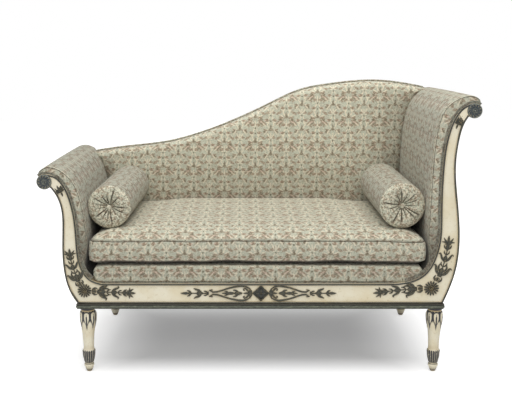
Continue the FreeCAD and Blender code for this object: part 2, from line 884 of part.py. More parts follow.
def cushion_ring(inset, z):
    """Level section of the cushion: four drawn-in sides between round corners."""
    low, high = cushion_limits()
    front = front_face + arm_pad_set_back / 2
    rear_end = back_pad_front - cushion_play
    centre = Vector((low + high) / 2, (front + rear_end) / 2, z)
    halves = [(high - low) / 2, (rear_end - front) / 2]
    corners = []
    for turn in range(4):
        half, reach = halves if turn % 2 == 0 else reversed(halves)
        for along, out in cushion_side(half, reach, inset):
            for quarter in range(turn):
                along, out = -out, along
            corners.append(centre + Vector(along, out, 0))
    return corners


def crown_steps():
    """Inset from the cushion's edge and height over its top seam, outwards in."""
    return [(0.0, 0.0), (22.0, 0.38), (70.0, 0.76), (170.0, 1.0)]


def cushion_seam():
    return deck_top + soft_gap + border_height + cushion_edge()


def cushion_edge():
    """Height of the rolled bottom edge below the border."""
    return border_height * 0.07


def crown_at(inset):
    """Height of the cushion's top over the floor at a distance in from its edge."""
    steps = crown_steps()
    for (near, low), (far, high) in zip(steps, steps[1:]):
        if inset <= far:
            share = (inset - near) / (far - near)
            return cushion_seam() + crown_height * (low + share * (high - low))
    return cushion_seam() + crown_height


def seat_cushion():
    """Loose cushion with a crowned top and sides that draw in between its corners."""
    foot = deck_top + soft_gap
    edge = cushion_edge()
    rings = [cushion_ring(edge * 1.5, foot), cushion_ring(0.0, foot + edge)]
    for inset, height in crown_steps():
        rings.append(cushion_ring(inset, cushion_seam() + crown_height * height))
    return faceted(rings)


def bolster_level(radius, inset):
    """Height of a bolster's centre line where it just clears the crowned cushion."""
    steps = range(-int(radius / 2), int(radius / 2) + 1, 2)
    tops = [crown_at(inset + step) + math.sqrt(radius ** 2 - step ** 2) for step in steps]
    return max(tops) + soft_gap


def bolster_place(arm, radius):
    """Front end of a bolster's centre line."""
    end = cushion_limits()[0 if arm.side < 0 else 1]
    level = crown_at(radius) + radius
    steps = [level + radius * share for share in (-0.6, -0.3, 0.0, 0.3, 0.6)]
    clear = radius + soft_gap
    centres = []
    for height in steps:
        reach = math.sqrt(clear ** 2 - (height - level) ** 2)
        centres.append(arm.x(arm.pad_face(height)) - arm.side * reach)
    x = arm.side * min(arm.side * centre for centre in centres)
    inset = abs(end - x)
    return Vector(x, front_face + bolster_front, bolster_level(radius, inset))


def bolster_profile(radius):
    """End of a bolster from the dimple out, as depth and radius."""
    return [(9.0, button_radius * 1.1), (1.5, radius * 0.36), (0.0, radius * 0.66),
            (6.0, radius * 0.88), (26.0, radius)]


def bolster(arm, radius, turn):
    """Round bolster with dimpled ends, lying from front to back."""
    front = bolster_profile(radius)
    back = [(bolster_length - depth, width) for depth, width in reversed(front)]
    body = faceted([ring(width, depth, bolster_sides) for depth, width in front + back])
    body.rotate(Vector(0, 0, 0), Vector(1, 0, 0), -90)
    return laid(body, arm, radius, turn)


def laid(shape, arm, radius, turn):
    """A bolster's piece turned and set on the cushion."""
    shape = shape.copy()
    shape.rotate(Vector(0, 0, 0), Vector(0, 0, 1), -turn)
    shape.translate(bolster_place(arm, radius))
    return shape


def bolster_buttons(arm, radius, turn):
    """Covered buttons at both ends of a bolster."""
    buttons = []
    rows = [(0.0, 1.0), (0.6, 0.9), (1.0, 0.4)]
    depth = bolster_profile(radius)[0][0] - fit_gap
    for start, sign in ((depth, -1), (bolster_length - depth, 1)):
        rings = [ring(button_radius * wide, sign * button_height * up, 8) for up, wide in rows]
        button = faceted(rings)
        button.rotate(Vector(0, 0, 0), Vector(1, 0, 0), -90)
        button.translate(Vector(0, start, 0))
        buttons.append(laid(button, arm, radius, turn))
    return buttons


def leaf(start, end, width, rise=ornament_depth, shoulder=0.4):
    """Carved leaf on the panel: four slopes from a kite-shaped base to a high point."""
    along = end - start
    across = Vector(-along.z, 0, along.x).normalize() * (width / 2)
    middle = start + along * shoulder
    base = [start, middle + across, end, middle - across]
    peak = middle + Vector(0, -rise, 0)
    faces = [Part.Face(Part.makePolygon(base + base[:1]))]
    for first, second in zip(base, base[1:] + base[:1]):
        faces.append(Part.Face(Part.makePolygon([first, second, peak, first])))
    solid = Part.makeSolid(Part.makeShell(faces))
    if solid.Volume < 0:
        solid.reverse()
    return solid


def on_panel(x, z):
    return Vector(x, panel_face, z)


def turned(length, angle):
    """Step of a length at an angle over the horizontal, in elevation."""
    turn = math.radians(angle)
    return Vector(length * math.cos(turn), 0, length * math.sin(turn))


def bar(start, end, width, rise):
    """Straight ridge of a width between two points of the panel."""
    along = end - start
    across = Vector(-along.z, 0, along.x).normalize() * (width / 2)
    corners = [start + across, end + across, end - across, start - across]
    return prism(corners, Vector(0, -rise, 0))


def boss(centre, radius, rise, sides=6, top=0.55):
    """Small raised knob with sloping sides, or a straight disc if its top is as wide as its foot."""
    rings = []
    for share, height in ((1.0, 0.0), (top, rise)):
        corners = []
        for count in range(sides):
            corners.append(centre + turned(radius * share, 360 * count / sides) - Y_AXIS * height)
        rings.append(corners)
    return faceted(rings)


def patera(centre, radius):
    """Daisy of petals round a boss."""
    petals = []
    for count in range(8):
        angle = 45 * count
        petals.append(leaf(centre + turned(radius * 0.2, angle), centre + turned(radius, angle),
                           radius * 0.6, ornament_depth * 0.8, 0.65))
    return petals + [boss(centre, radius * 0.36, ornament_depth)]


def husk(start, angle, length):
    """Bell flower: a middle leaf between two that spread."""
    return [
        leaf(start, start + turned(length, angle), length * 0.42),
        leaf(start, start + turned(length * 0.72, angle + 32), length * 0.26),
        leaf(start, start + turned(length * 0.72, angle - 32), length * 0.26),
    ]


def husk_chain(start, angle, lengths):
    """Husks that follow each other on a stem."""
    pieces = []
    for length in lengths:
        pieces += husk(start, angle, length)
        start = start + turned(length * 0.93, angle)
    return pieces


def fused(pieces):
    """Overlapping carvings as one applied piece."""
    return pieces[0].multiFuse(pieces[1:])


def corner_ornament(arm, length, height):
    """Daisy at the corner with a chain of husks along the rail and one up the post."""
    centre = on_panel(arm.x(arm.heel - bead_width - patera_radius * 0.72), rail_bottom + rail_height * 0.64)
    along = 180 if arm.side > 0 else 0
    pieces = patera(centre, patera_radius)
    rail_line = centre - Vector(0, 0, patera_radius * 0.4)
    pieces += husk_chain(rail_line + turned(patera_radius * 0.7, along), along,
                         [length * share for share in (0.2, 0.24, 0.26, 0.3)])
    start = centre + turned(patera_radius * 0.7, 90)
    for share in (0.3, 0.36, 0.34):
        step = height * share
        up = start.z + step
        middle = (at_height(arm.outer, up) + at_height(arm.inner, up)) / 2
        goal = on_panel(arm.x(middle), up)
        angle = math.degrees(math.atan2(goal.z - start.z, goal.x - start.x))
        pieces += husk(start, angle, (goal - start).Length * 1.06)
        start = goal
    return fused(pieces)


def centre_ornament():
    """Lozenge between palmettes, with bars that close to curls and a chain of husks each side."""
    middle_x = (low_arm.x(low_arm.joint) + high_arm.x(high_arm.joint)) / 2
    centre = on_panel(middle_x, rail_bottom + rail_height / 2)
    half = rail_height / 2 - bead_width - 2 * ornament_margin
    wide = half * 1.45
    corners = [centre + Vector(wide, 0, 0), centre + Vector(0, 0, half),
               centre - Vector(wide, 0, 0), centre - Vector(0, 0, half)]
    pieces = []
    for first, second in zip(corners, corners[1:] + corners[:1]):
        pieces.append(bar(first, second, 4.5, ornament_depth * 0.75))
    for angle in (0, 90, 180, 270):
        pieces.append(leaf(centre, centre + turned(half * (1.3 if angle % 180 == 0 else 0.95), angle), half * 0.6))
    for side in (-1, 1):
        outward = 0 if side > 0 else 180
        root = centre + Vector(side * wide * 0.95, 0, 0)
        for spread_angle in (-50, 0, 50):
            pieces.append(leaf(root, root + turned(half * 1.25, outward + spread_angle), half * 0.42))
        knot = centre + Vector(side * half * 6.0, 0, 0)
        for tilt in (-1, 1):
            foot = centre + Vector(side * half * 1.9, 0, tilt * half * 0.92)
            pieces.append(bar(foot, knot, 4.5, ornament_depth * 0.7))
            curl = knot + Vector(0, 0, tilt * half * 0.45)
            pieces.append(boss(curl, half * 0.26, ornament_depth))
            pieces.append(bar(knot, curl, 4.0, ornament_depth * 0.7))
        pieces += husk_chain(knot, outward, [half * 1.1, half * 1.0, half * 0.9])
        pieces += husk_chain(root + turned(half, outward), outward, [half * 1.5])
    return fused(pieces)


def neck_ornament(arm):
    """Leaf collar across the neck of a post, just below its scroll."""
    inner = aside(arm.inner, [-bead_width] * len(arm.inner))
    near = inner[-4]
    far = (at_height(arm.outer, near[1] - 12), near[1] - 12)
    start, end = arm.place([near, far], panel_face)
    middle = (start + end) * 0.5
    across = (end - start).normalize()
    down = Vector(across.z, 0, -across.x)
    if down.z > 0:
        down = down * -1
    half = (end - start).Length / 2 - bead_width - ornament_margin
    pieces = [
        bar(middle - across * half, middle + across * half, 5.0, ornament_depth * 0.7),
        leaf(middle, middle + down * half * 1.9, half * 1.1),
        leaf(middle, middle - down * half * 1.3, half * 0.9),
    ]
    return fused(pieces)


def scroll_rosette(arm):
    """Turned and carved disc on the front of a scroll."""
    centre = arm.place([(arm.reach, arm.scroll_level)], front_face)[0]
    radius = arm.radius - 0.5
    disc = boss(centre, radius, rosette_depth * 0.8, 20, 1.0)
    sunk = centre - Y_AXIS * (rosette_depth * 0.4)
    pieces = [disc.cut(boss(sunk, radius * 0.84, rosette_depth, 20, 1.0))]
    for count in range(6):
        angle = 60 * count
        pieces.append(leaf(sunk + turned(radius * 0.2, angle), sunk + turned(radius * 0.82, angle),
                           radius * 0.5, rosette_depth * 0.4, 0.6))
    pieces.append(boss(sunk, radius * 0.28, rosette_depth * 0.6))
    return fused(pieces)


def make_frame():
    """Posts, rails, legs, moulding and joinery."""
    save("front_rail", rail(True))
    save("rear_rail", rear(rail(False)))
    for name, arm in arms.items():
        save("front_post_" + name, post(arm, True))
        save("rear_post_" + name, rear(post(arm, False)))
        save("end_rail_" + name, end_rail(arm))
        save("scroll_rail_" + name, scroll_rail(arm))
        save("arm_rail_" + name, arm_rail(arm))
        save("leg_front_" + name, moved(leg(), arm.x(0), -leg_depth / 2, 0))
        save("leg_rear_" + name, moved(leg(), arm.x(0), leg_depth / 2, 0))
        save("corner_block_front_" + name, corner_block(arm))
        save("corner_block_rear_" + name, rear(corner_block(arm)))
    corners = rail_corners()
    for name, start, end in zip(("front", "high", "rear", "low"), corners, corners[1:] + corners[:1]):
        save("base_moulding_" + name, moulding(start, end))


def make_back():
    """Back frame, its webbing, padding and cover."""
    save("crest_rail", crest_rail())
    save("back_lower_rail", back_lower_rail())
    for name, share in (("low", -0.25), ("middle", 0.0), ("high", 0.25)):
        save("back_upright_" + name, back_upright(share))
    save("back_webbing", *back_webbing())
    save("back_pad", back_pad())
    save("back_piping", back_piping())
    save("back_outside_cover", back_outside())


def make_seat_and_arms():
    """Deck, webbing, arm padding, welts and covers."""
    save("seat_deck", seat_deck())
    save("deck_welt", deck_welt())
    save("seat_webbing_cross", *seat_webbing_cross())
    save("seat_webbing_long", *seat_webbing_long())
    save("dust_cover", dust_cover())
    for name, arm in arms.items():
        save("arm_pad_" + name, arm_pad(arm))
        save("arm_hessian_" + name, arm_hessian(arm))
        save("arm_outside_cover_" + name, arm_outside(arm))
        save("arm_welt_" + name, arm_welt(arm))


def make_ornament():
    """Applied carving of the front."""
    save("centre_ornament", centre_ornament())
    save("corner_ornament_low", corner_ornament(low_arm, 158.0, 130.0))
    save("corner_ornament_high", corner_ornament(high_arm, 182.0, 170.0))
    for name, arm in arms.items():
        save("neck_ornament_" + name, neck_ornament(arm))
        save("scroll_rosette_" + name, scroll_rosette(arm))


def make_loose_cushions():
    """Seat cushion and bolsters."""
    save("seat_cushion", seat_cushion())
    for name, radius, turn in (("low", low_bolster_radius, low_bolster_turn),
                               ("high", high_bolster_radius, 0.0)):
        save("bolster_" + name, bolster(arms[name], radius, turn))
        save("bolster_buttons_" + name, *bolster_buttons(arms[name], radius, turn))


make_frame()
make_back()
make_seat_and_arms()
make_ornament()
make_loose_cushions()
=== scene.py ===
"""Looks of the recamier: painted and carved show-wood, figured cloth, loose cushion and bolsters.

Lengths are in metres, in the frame of the CAD model: X along the seat towards the high end,
Y from the front to the back, Z up from the floor.
"""
import math

import bmesh
import bpy
import numpy as np
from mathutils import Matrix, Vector, noise


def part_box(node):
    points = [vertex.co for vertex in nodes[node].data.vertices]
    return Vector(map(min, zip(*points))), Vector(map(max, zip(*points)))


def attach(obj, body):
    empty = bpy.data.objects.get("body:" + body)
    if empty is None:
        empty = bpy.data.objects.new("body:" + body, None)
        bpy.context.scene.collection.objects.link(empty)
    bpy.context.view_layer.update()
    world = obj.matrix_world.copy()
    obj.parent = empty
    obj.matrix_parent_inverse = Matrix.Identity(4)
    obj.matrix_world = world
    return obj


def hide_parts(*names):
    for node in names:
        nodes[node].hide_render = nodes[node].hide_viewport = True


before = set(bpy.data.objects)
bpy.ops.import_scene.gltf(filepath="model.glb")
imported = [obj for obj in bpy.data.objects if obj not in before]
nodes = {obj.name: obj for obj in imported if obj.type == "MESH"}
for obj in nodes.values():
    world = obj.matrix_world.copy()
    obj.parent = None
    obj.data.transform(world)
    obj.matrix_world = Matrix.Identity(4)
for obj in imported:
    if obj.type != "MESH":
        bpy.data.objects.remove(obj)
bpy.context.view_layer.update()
MM = 0.001

# Places that the frame gives


def corner_pair(name):
    low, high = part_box(name)
    return np.array(low), np.array(high)


def middle(name):
    low, high = corner_pair(name)
    return (low + high) / 2


rail_low = corner_pair("front_rail")[0]
front = rail_low[1]
panel = front + 3 * MM
rail_bottom = rail_low[2]
rail_top = corner_pair("deck_welt")[0][2]
back_face = -front
deck_low, deck_high = corner_pair("seat_deck")
cushion_low, cushion_high = corner_pair("seat_cushion")
pad_low, pad_high = corner_pair("back_pad")
crest_low, crest_high = corner_pair("crest_rail")
leg_top = corner_pair("base_moulding_front")[0][2]

# Driving sizes of the looks
bead = 7 * MM
arm_pad_front = front + 4 * MM
arm_pad_roll = 9 * MM
rear_of_arm_pad = back_face - 4 * MM


# Helpers for lines and meshes


def spline(knots, count):
    """Even samples of the smooth line through rows whose first two columns are a place."""
    knots = np.array(knots, float)
    gaps = np.hypot(*np.diff(knots[:, :2], axis=0).T)
    pace = np.concatenate([[0], np.cumsum(gaps)])
    size = len(pace)
    system = np.eye(size)
    sides = np.zeros_like(knots)
    for i in range(1, size - 1):
        system[i, i - 1:i + 2] = gaps[i - 1], 2 * (gaps[i - 1] + gaps[i]), gaps[i]
        sides[i] = 6 * ((knots[i + 1] - knots[i]) / gaps[i] - (knots[i] - knots[i - 1]) / gaps[i - 1])
    bend = np.linalg.solve(system, sides)
    fine = np.linspace(0, pace[-1], 40 * size)
    spot = np.clip(np.searchsorted(pace, fine) - 1, 0, size - 2)
    wide = gaps[spot][:, None]
    after = (fine[:, None] - pace[spot][:, None]) / wide
    before = 1 - after
    line = before * knots[spot] + after * knots[spot + 1]
    line += ((before ** 3 - before) * bend[spot] + (after ** 3 - after) * bend[spot + 1]) * wide ** 2 / 6
    return resample(line, count)


def lengths_along(line):
    steps = np.hypot(*np.diff(line[:, :2], axis=0).T)
    return np.concatenate([[0], np.cumsum(steps)])


def resample(line, count):
    far = lengths_along(line)
    even = np.linspace(0, far[-1], count)
    return np.stack([np.interp(even, far, column) for column in line.T], axis=1)


def left_of(line):
    """Unit steps square to a line in the elevation, to its left."""
    way = np.gradient(line[:, :2], axis=0)
    way /= np.hypot(*way.T)[:, None]
    return np.stack([-way[:, 1], way[:, 0]], axis=1)


def points_of(x, y, z):
    """Points from three columns, each an array or one number."""
    return np.stack(np.broadcast_arrays(x, y, z), axis=-1)


def smooth_step(value, low, high):
    share = np.clip((value - low) / (high - low), 0, 1)
    return share * share * (3 - 2 * share)


def wander(points, scale, seed):
    """Soft noise from -1 to 1 at each point, the same on every run."""
    flat = np.asarray(points, float).reshape(-1, 3)
    away = Vector((seed * 7.31, seed * 3.17, seed * 1.93))
    values = [noise.noise(Vector(point) / scale + away) for point in flat]
    return np.array(values).reshape(np.asarray(points).shape[:-1])


def new_object(name, verts, faces, corners=None, smooth=True):
    """Mesh object; corners gives each face corner its place on the cloth, in metres."""
    mesh = bpy.data.meshes.new(name)
    mesh.from_pydata([tuple(v) for v in verts], [], [list(map(int, f)) for f in faces])
    if corners is not None:
        layer = mesh.uv_layers.new(name="cloth")
        layer.data.foreach_set("uv", np.asarray(corners, float).reshape(-1))
    shell = bmesh.new()
    shell.from_mesh(mesh)
    bmesh.ops.recalc_face_normals(shell, faces=shell.faces)
    shell.to_mesh(mesh)
    shell.free()
    mesh.polygons.foreach_set("use_smooth", [smooth] * len(mesh.polygons))
    piece = bpy.data.objects.new(name, mesh)
    bpy.context.scene.collection.objects.link(piece)
    return piece


def skin(name, points, cloth=None, closed=True, caps=(True, True), smooth=True):
    """Mesh over rows of points. A closed one ends each row on its first point."""
    rows, columns = points.shape[:2]
    wide = columns - 1 if closed else columns
    faces = []
    spots = []
    for r in range(rows - 1):
        for c in range(columns - 1):
            quad = [(r, c), (r, c + 1), (r + 1, c + 1), (r + 1, c)]
            faces.append([i * wide + j % wide for i, j in quad])
            spots += quad
    for r, wanted in zip((0, rows - 1), caps):
        if wanted and closed:
            faces.append([r * wide + c for c in range(wide)])
            spots += [(r, c) for c in range(wide)]
    corners = None if cloth is None else np.array([cloth[i, j] for i, j in spots])
    return new_object(name, points[:, :wide].reshape(-1, 3), faces, corners, smooth)


def tube(name, path, radius, sides=8, flat=1.0):
    """Round rod along points that keep to one depth; flat squashes it along Y."""
    way = np.gradient(path, axis=0)
    way /= np.linalg.norm(way, axis=1)[:, None]
    turn = np.linspace(0, 2 * math.pi, sides + 1)[:, None]
    rows = []
    for point, along in zip(path, way):
        side = np.cross(along, (0, 1, 0))
        side /= np.linalg.norm(side)
        up = np.cross(side, along)
        rows.append(point + radius * (np.cos(turn) * side + np.sin(turn) * up * flat))
    return skin(name, np.array(rows))


def join(name, pieces):
    """One object out of several meshes."""
    bpy.ops.object.select_all(action="DESELECT")
    for piece in pieces:
        piece.select_set(True)
    bpy.context.view_layer.objects.active = pieces[0]
    bpy.ops.object.join()
    pieces[0].name = name
    pieces[0].data.name = name
    return pieces[0]


def mark(piece, name, values):
    """Keep one number from 0 to 1 for each point of a mesh, for its material."""
    layer = piece.data.attributes.new(name, "FLOAT", "POINT")
    layer.data.foreach_set("value", np.clip(np.asarray(values, float).reshape(-1), 0, 1))
    return piece


def dress(piece, body, material, slot, *replaced):
    """Give a piece its material, the body it rides on and the CAD nodes it stands for."""
    piece.data.materials.clear()
    piece.data.materials.append(material)
    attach(piece, body)
    if replaced:
        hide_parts(*replaced)


# Colours


def srgb(*values):
    """Linear colour from 0 to 255 display values."""
    shares = [value / 255 for value in values]
    line = [v / 12.92 if v <= 0.04045 else ((v + 0.055) / 1.055) ** 2.4 for v in shares]
    return (*line, 1.0)


class Shade:
    """Short way to write the nodes of one material."""

    def __init__(self, name, tree=None):
        if tree is None:
            self.material = bpy.data.materials.new(name)
            self.material.use_nodes = True
            self.tree = self.material.node_tree
            self.shader = self.tree.nodes["Principled BSDF"]
        else:
            self.tree = tree

    def node(self, kind, *values, **settings):
        made = self.tree.nodes.new("ShaderNode" + kind)
        for key, value in settings.items():
            setattr(made, key, value)
        for socket, value in zip(made.inputs, values):
            self.plug(socket, value)
        return made

    def plug(self, socket, value):
        if isinstance(value, bpy.types.NodeSocket):
            self.tree.links.new(value, socket)
        elif value is not None:
            socket.default_value = value

    def math(self, operation, *values):
        return self.node("Math", *values, operation=operation).outputs[0]

    def vector(self, operation, *values):
        made = self.node("VectorMath", *values, operation=operation)
        return made.outputs["Value" if operation == "LENGTH" else "Vector"]

    def mix(self, share, first, second, blend="MIX"):
        made = self.node("Mix", data_type="RGBA", blend_type=blend)
        for index, value in ((0, share), (6, first), (7, second)):
            self.plug(made.inputs[index], value)
        return made.outputs[2]

    def ramp(self, value, start, end, low=0.0, high=1.0):
        made = self.node("MapRange", value, start, end, low, high, interpolation_type="SMOOTHSTEP")
        return made.outputs[0]

    def noise(self, place, scale, detail=3.0, roughness=0.5, colour=False):
        made = self.node("TexNoise")
        settings = {"Vector": place, "Scale": scale, "Detail": detail, "Roughness": roughness}
        for key, value in settings.items():
            self.plug(made.inputs[key], value)
        return made.outputs["Color" if colour else 0]

    def place(self, stretch=(1, 1, 1)):
        """Object coordinates, stretched."""
        spot = self.node("TexCoord").outputs["Object"]
        return self.vector("MULTIPLY", spot, stretch)

    def parts(self, vector):
        return self.node("SeparateXYZ", vector).outputs

    def attribute(self, name):
        """Number that mark() kept on the mesh."""
        return self.node("Attribute", attribute_name=name).outputs["Fac"]

    def bump(self, height, distance):
        made = self.node("Bump", 1.0, distance)
        self.plug(made.inputs["Height"], height)
        return made.outputs["Normal"]

    def finish(self, colour, roughness, normal=None, **sockets):
        self.plug(self.shader.inputs["Base Color"], colour)
        self.plug(self.shader.inputs["Roughness"], roughness)
        if normal is not None:
            self.plug(self.shader.inputs["Normal"], normal)
        for key, value in sockets.items():
            self.plug(self.shader.inputs[key.replace("_", " ")], value)
        return self.material


# Cloth: a half-drop repeat of sprigs on a grey-green ground, mirrored about each column

cloth_ground = srgb(192, 192, 172)
cloth_pale = srgb(203, 206, 186)
cloth_cream = srgb(238, 229, 204)
cloth_taupe = srgb(130, 116, 92)
cloth_rose = srgb(158, 134, 110)
cloth_peach = srgb(226, 203, 184)
cloth_olive = srgb(104, 98, 72)
slub_shade = srgb(120, 112, 92)
weave_shade = srgb(90, 84, 70)
# Colour of the painted shade that the 'crease' number on each mesh multiplies into the cloth
painted_shade_colour = srgb(70, 60, 44)
thread_pitch = 1.5 * MM

repeat_width = 132 * MM
repeat_height = 106 * MM

# Spots of the motif in mm from the middle of its spear: across, up, half width, half height, tilt
spear_rise = 14.0
sprig = [
    (cloth_pale, 40, 22, 17, 10, -20),
    (cloth_pale, 44, 56, 14, 8, 15),
    (cloth_rose, 20, -9, 12, 5.0, -18),
    (cloth_rose, 33, 10, 11, 5.5, 32),
    (cloth_taupe, 40, 38, 8, 4.5, -30),
    (cloth_rose, 17, 32, 7, 4.5, 60),
    (cloth_cream, 9, 3, 3.6, 16, 24),
    (cloth_cream, 22, -1, 3.0, 11, 62),
    (cloth_cream, 7, 43, 2.8, 10, -25),
    (cloth_cream, 15, 23, 2.6, 9, -100),
    (cloth_cream, 46, 36, 2.8, 13, 35),
    (cloth_cream, 57, 20, 3.0, 12, -30),
    (cloth_taupe, 0, 3, 4.0, 11, 0),
    (cloth_taupe, 0, -6, 9, 6.0, 0),
    (cloth_olive, 0, 29, 3.6, 4.0, 0),
    (cloth_rose, 29, 77, 20, 7.4, 28),
    (cloth_rose, 12, 66, 10, 6.0, 10),
    (cloth_taupe, 22, 71, 11, 2.8, 28),
    (cloth_rose, 50, 86, 10, 5.6, 0),
    (cloth_peach, 27, 78, 9, 2.6, 28),
    (cloth_peach, 42, 86, 5, 2.0, 10),
    (cloth_taupe, 24, 87, 7, 3.4, 30),
    (cloth_cream, 37, 68, 2.8, 10, -50),
    (cloth_cream, 55, 74, 2.8, 10, 20),
    (cloth_cream, 0, 71, 2.8, 14, 0),
    (cloth_cream, 8, 58, 4.0, 3.2, 0),
    (cloth_olive, 0, 52, 3.0, 4.0, 0),
]


def motif_group():
    """Paints one column's sprig over a colour, at a place measured from its foot."""
    tree = bpy.data.node_groups.new("sprig", "ShaderNodeTree")
    tree.interface.new_socket("Place", in_out="INPUT", socket_type="NodeSocketVector")
    tree.interface.new_socket("Under", in_out="INPUT", socket_type="NodeSocketColor")
    tree.interface.new_socket("Colour", in_out="OUTPUT", socket_type="NodeSocketColor")
    shade = Shade("sprig", tree)
    given = tree.nodes.new("NodeGroupInput")
    result = tree.nodes.new("NodeGroupOutput")
    across, up, _ = shade.parts(given.outputs["Place"])
    width = shade.math("SUBTRACT", shade.math("FRACT", shade.math("DIVIDE", across, repeat_width)), 0.5)
    width = shade.math("MULTIPLY", shade.math("ABSOLUTE", width), repeat_width / MM)
    height = shade.math("FRACT", shade.math("DIVIDE", up, repeat_height))
    height = shade.math("SUBTRACT", shade.math("MULTIPLY", height, repeat_height / MM), spear_rise)
    folded = shade.node("CombineXYZ", width, height).outputs[0]
    colour = given.outputs["Under"]
    for paint, x, y, wide, tall, tilt in sprig:
        turn = -math.radians(tilt)
        values = (folded, (x, y, 0), (0, 0, turn), (wide, tall, 1))
        local = shade.node("Mapping", *values, vector_type="TEXTURE").outputs[0]
        reach = shade.vector("LENGTH", local)
        colour = shade.mix(shade.ramp(reach, 0.65, 1.3, 0.85, 0.0), colour, paint)
    tree.links.new(colour, result.inputs["Colour"])
    return tree


sprig_tree = motif_group()


def figured_cloth(name, light=1.0, shift=(0.0, 0.0), plain=False):
    """Woven cloth whose figure follows the place on the cloth in metres; plain cloth is only flecked."""
    shade = Shade(name)
    spot = shade.place() if plain else shade.node("UVMap", uv_map="cloth").outputs[0]
    jitter = shade.vector("SUBTRACT", shade.noise(spot, 130.0, 3.0, colour=True), (0.5, 0.5, 0.5))
    spot = shade.vector("ADD", spot, (shift[0], shift[1], 0))
    tone = shade.noise(spot, 30.0, 3.0)
    colour = shade.mix(shade.ramp(tone, 0.35, 0.65), cloth_ground, cloth_pale)
    if plain:
        blush = shade.noise(spot, 75.0, 2.0)
        colour = shade.mix(shade.ramp(blush, 0.48, 0.60, 0.0, 0.7), colour, cloth_rose)
    else:
        warped = shade.vector("ADD", spot, shade.vector("MULTIPLY", jitter, (6.5 * MM, 6.5 * MM, 0)))
        for drop in (0.0, 0.5):
            cell = shade.node("Group", node_tree=sprig_tree)
            moved = shade.vector("ADD", warped, (repeat_width * drop, repeat_height * drop, 0))
            shade.plug(cell.inputs["Place"], moved)
            shade.plug(cell.inputs["Under"], colour)
            colour = cell.outputs["Colour"]
    strength = 0.8 if plain else 0.38
    fleck = shade.noise(spot, 170.0, 3.0, 0.6)
    colour = shade.mix(shade.ramp(fleck, 0.50, 0.60, 0.0, strength), colour, cloth_cream)
    colour = shade.mix(shade.ramp(fleck, 0.47, 0.38, 0.0, strength), colour, cloth_taupe)
    slub = shade.noise(shade.vector("MULTIPLY", spot, (1.0, 5.0, 1.0)), 160.0, 3.0, 0.6)
    colour = shade.mix(shade.ramp(slub, 0.3, 0.7, 0.30, 0.0), colour, slub_shade, "MULTIPLY")
    x, y, z = shade.parts(spot)
    threads = 2 * math.pi / thread_pitch
    waves = [shade.math("SINE", shade.math("MULTIPLY", way, threads)) for way in (x, z if plain else y)]
    weave = shade.math("MULTIPLY", *waves)
    colour = shade.mix(shade.ramp(weave, -1.0, 1.0, 0.16, 0.0), colour, weave_shade, "MULTIPLY")
    # Painted shade: darker in folds and seams, low on the back and arms and under the cushion, from the
    # 'crease' number on the mesh
    colour = shade.mix(shade.attribute("crease"), colour, painted_shade_colour, "MULTIPLY")
    # Painted light and shade: the light factor makes this piece's copy of the cloth lighter or darker as a
    # whole
    colour = shade.mix(1.0, colour, (light, light, light, 1.0), "MULTIPLY")
    relief = shade.math("ADD", shade.math("MULTIPLY", weave, 0.35), slub)
    return shade.finish(colour, shade.ramp(slub, 0.2, 0.8, 0.78, 0.92), shade.bump(relief, 0.25 * MM),
                        Sheen_Weight=0.12, Sheen_Roughness=0.5)


def aged_paint(name, carved=False):
    """Old ivory paint: streaks along the grain, small chips, and an ochre darkening round the carvings and
    in hollows, found by ambient occlusion, part old grime and part painted shade.
    """
    shade = Shade(name)
    spot = shade.place()
    cloud = shade.noise(spot, 9.0, 4.0, 0.6)
    streak = shade.noise(shade.place((14, 60, 14)), 6.0, 3.0, 0.6)
    colour = shade.mix(shade.ramp(cloud, 0.35, 0.7), srgb(238, 231, 208), srgb(228, 216, 184))
    colour = shade.mix(shade.ramp(streak, 0.55, 0.75, 0.0, 0.45), colour, srgb(206, 190, 150))
    # Ochre darkening close to other surfaces: part grime round the carvings, part painted shade in hollows
    # and corners
    close = shade.node("AmbientOcclusion", samples=6, only_local=False)
    close.inputs["Distance"].default_value = 22 * MM
    age = shade.ramp(close.outputs["AO"], 0.45, 1.0, 0.72, 0.0)
    colour = shade.mix(age, colour, srgb(150, 130, 92))
    chips = shade.noise(spot, 130.0, 2.0, 0.7)
    colour = shade.mix(shade.ramp(chips, 0.71, 0.75, 0.0, 0.8), colour, srgb(120, 100, 68))
    if carved:
        worn = shade.noise(spot, 150.0, 3.0, 0.6)
        colour = shade.mix(shade.attribute("age"), colour, srgb(176, 150, 98))
        dark = shade.math("MULTIPLY", shade.attribute("dark"), shade.ramp(worn, 0.25, 0.45, 0.55, 1.0))
        colour = shade.mix(shade.ramp(dark, 0.15, 0.8), colour, srgb(34, 34, 38))
    fine = shade.noise(shade.place((1, 1, 0.2)), 220.0, 3.0)
    return shade.finish(colour, shade.ramp(cloud, 0.2, 0.8, 0.42, 0.6), shade.bump(fine, 0.15 * MM))


def bead_paint_look():
    """Dark paint of the beads, rubbed through on its high places."""
    shade = Shade("bead_paint")
    spot = shade.place()
    wear = shade.noise(spot, 60.0, 4.0, 0.65)
    colour = shade.mix(shade.ramp(wear, 0.58, 0.72), srgb(30, 29, 23), srgb(100, 92, 64))
    tone = shade.noise(spot, 14.0, 3.0)
    colour = shade.mix(shade.ramp(tone, 0.3, 0.7, 0.0, 0.35), colour, srgb(84, 84, 66))
    return shade.finish(colour, shade.ramp(wear, 0.3, 0.8, 0.45, 0.7), shade.bump(wear, 0.2 * MM))


def carving_paint(name, deep, middle_tone, ridge):
    """Grey-green carving, dark in its hollows and rubbed to ochre and cream on its ridges."""
    shade = Shade(name)
    spot = shade.place()
    wear = shade.noise(spot, 180.0, 3.0, 0.6)
    uneven = shade.math("MULTIPLY", shade.math("SUBTRACT", wear, 0.5), 0.9)
    high = shade.math("ADD", shade.attribute("relief"), uneven)
    colour = shade.mix(shade.ramp(high, 0.1, 0.75), deep, middle_tone)
    colour = shade.mix(shade.ramp(high, 0.78, 1.1, 0.0, 0.8), colour, ridge)
    return shade.finish(colour, 0.55, shade.bump(wear, 0.2 * MM))


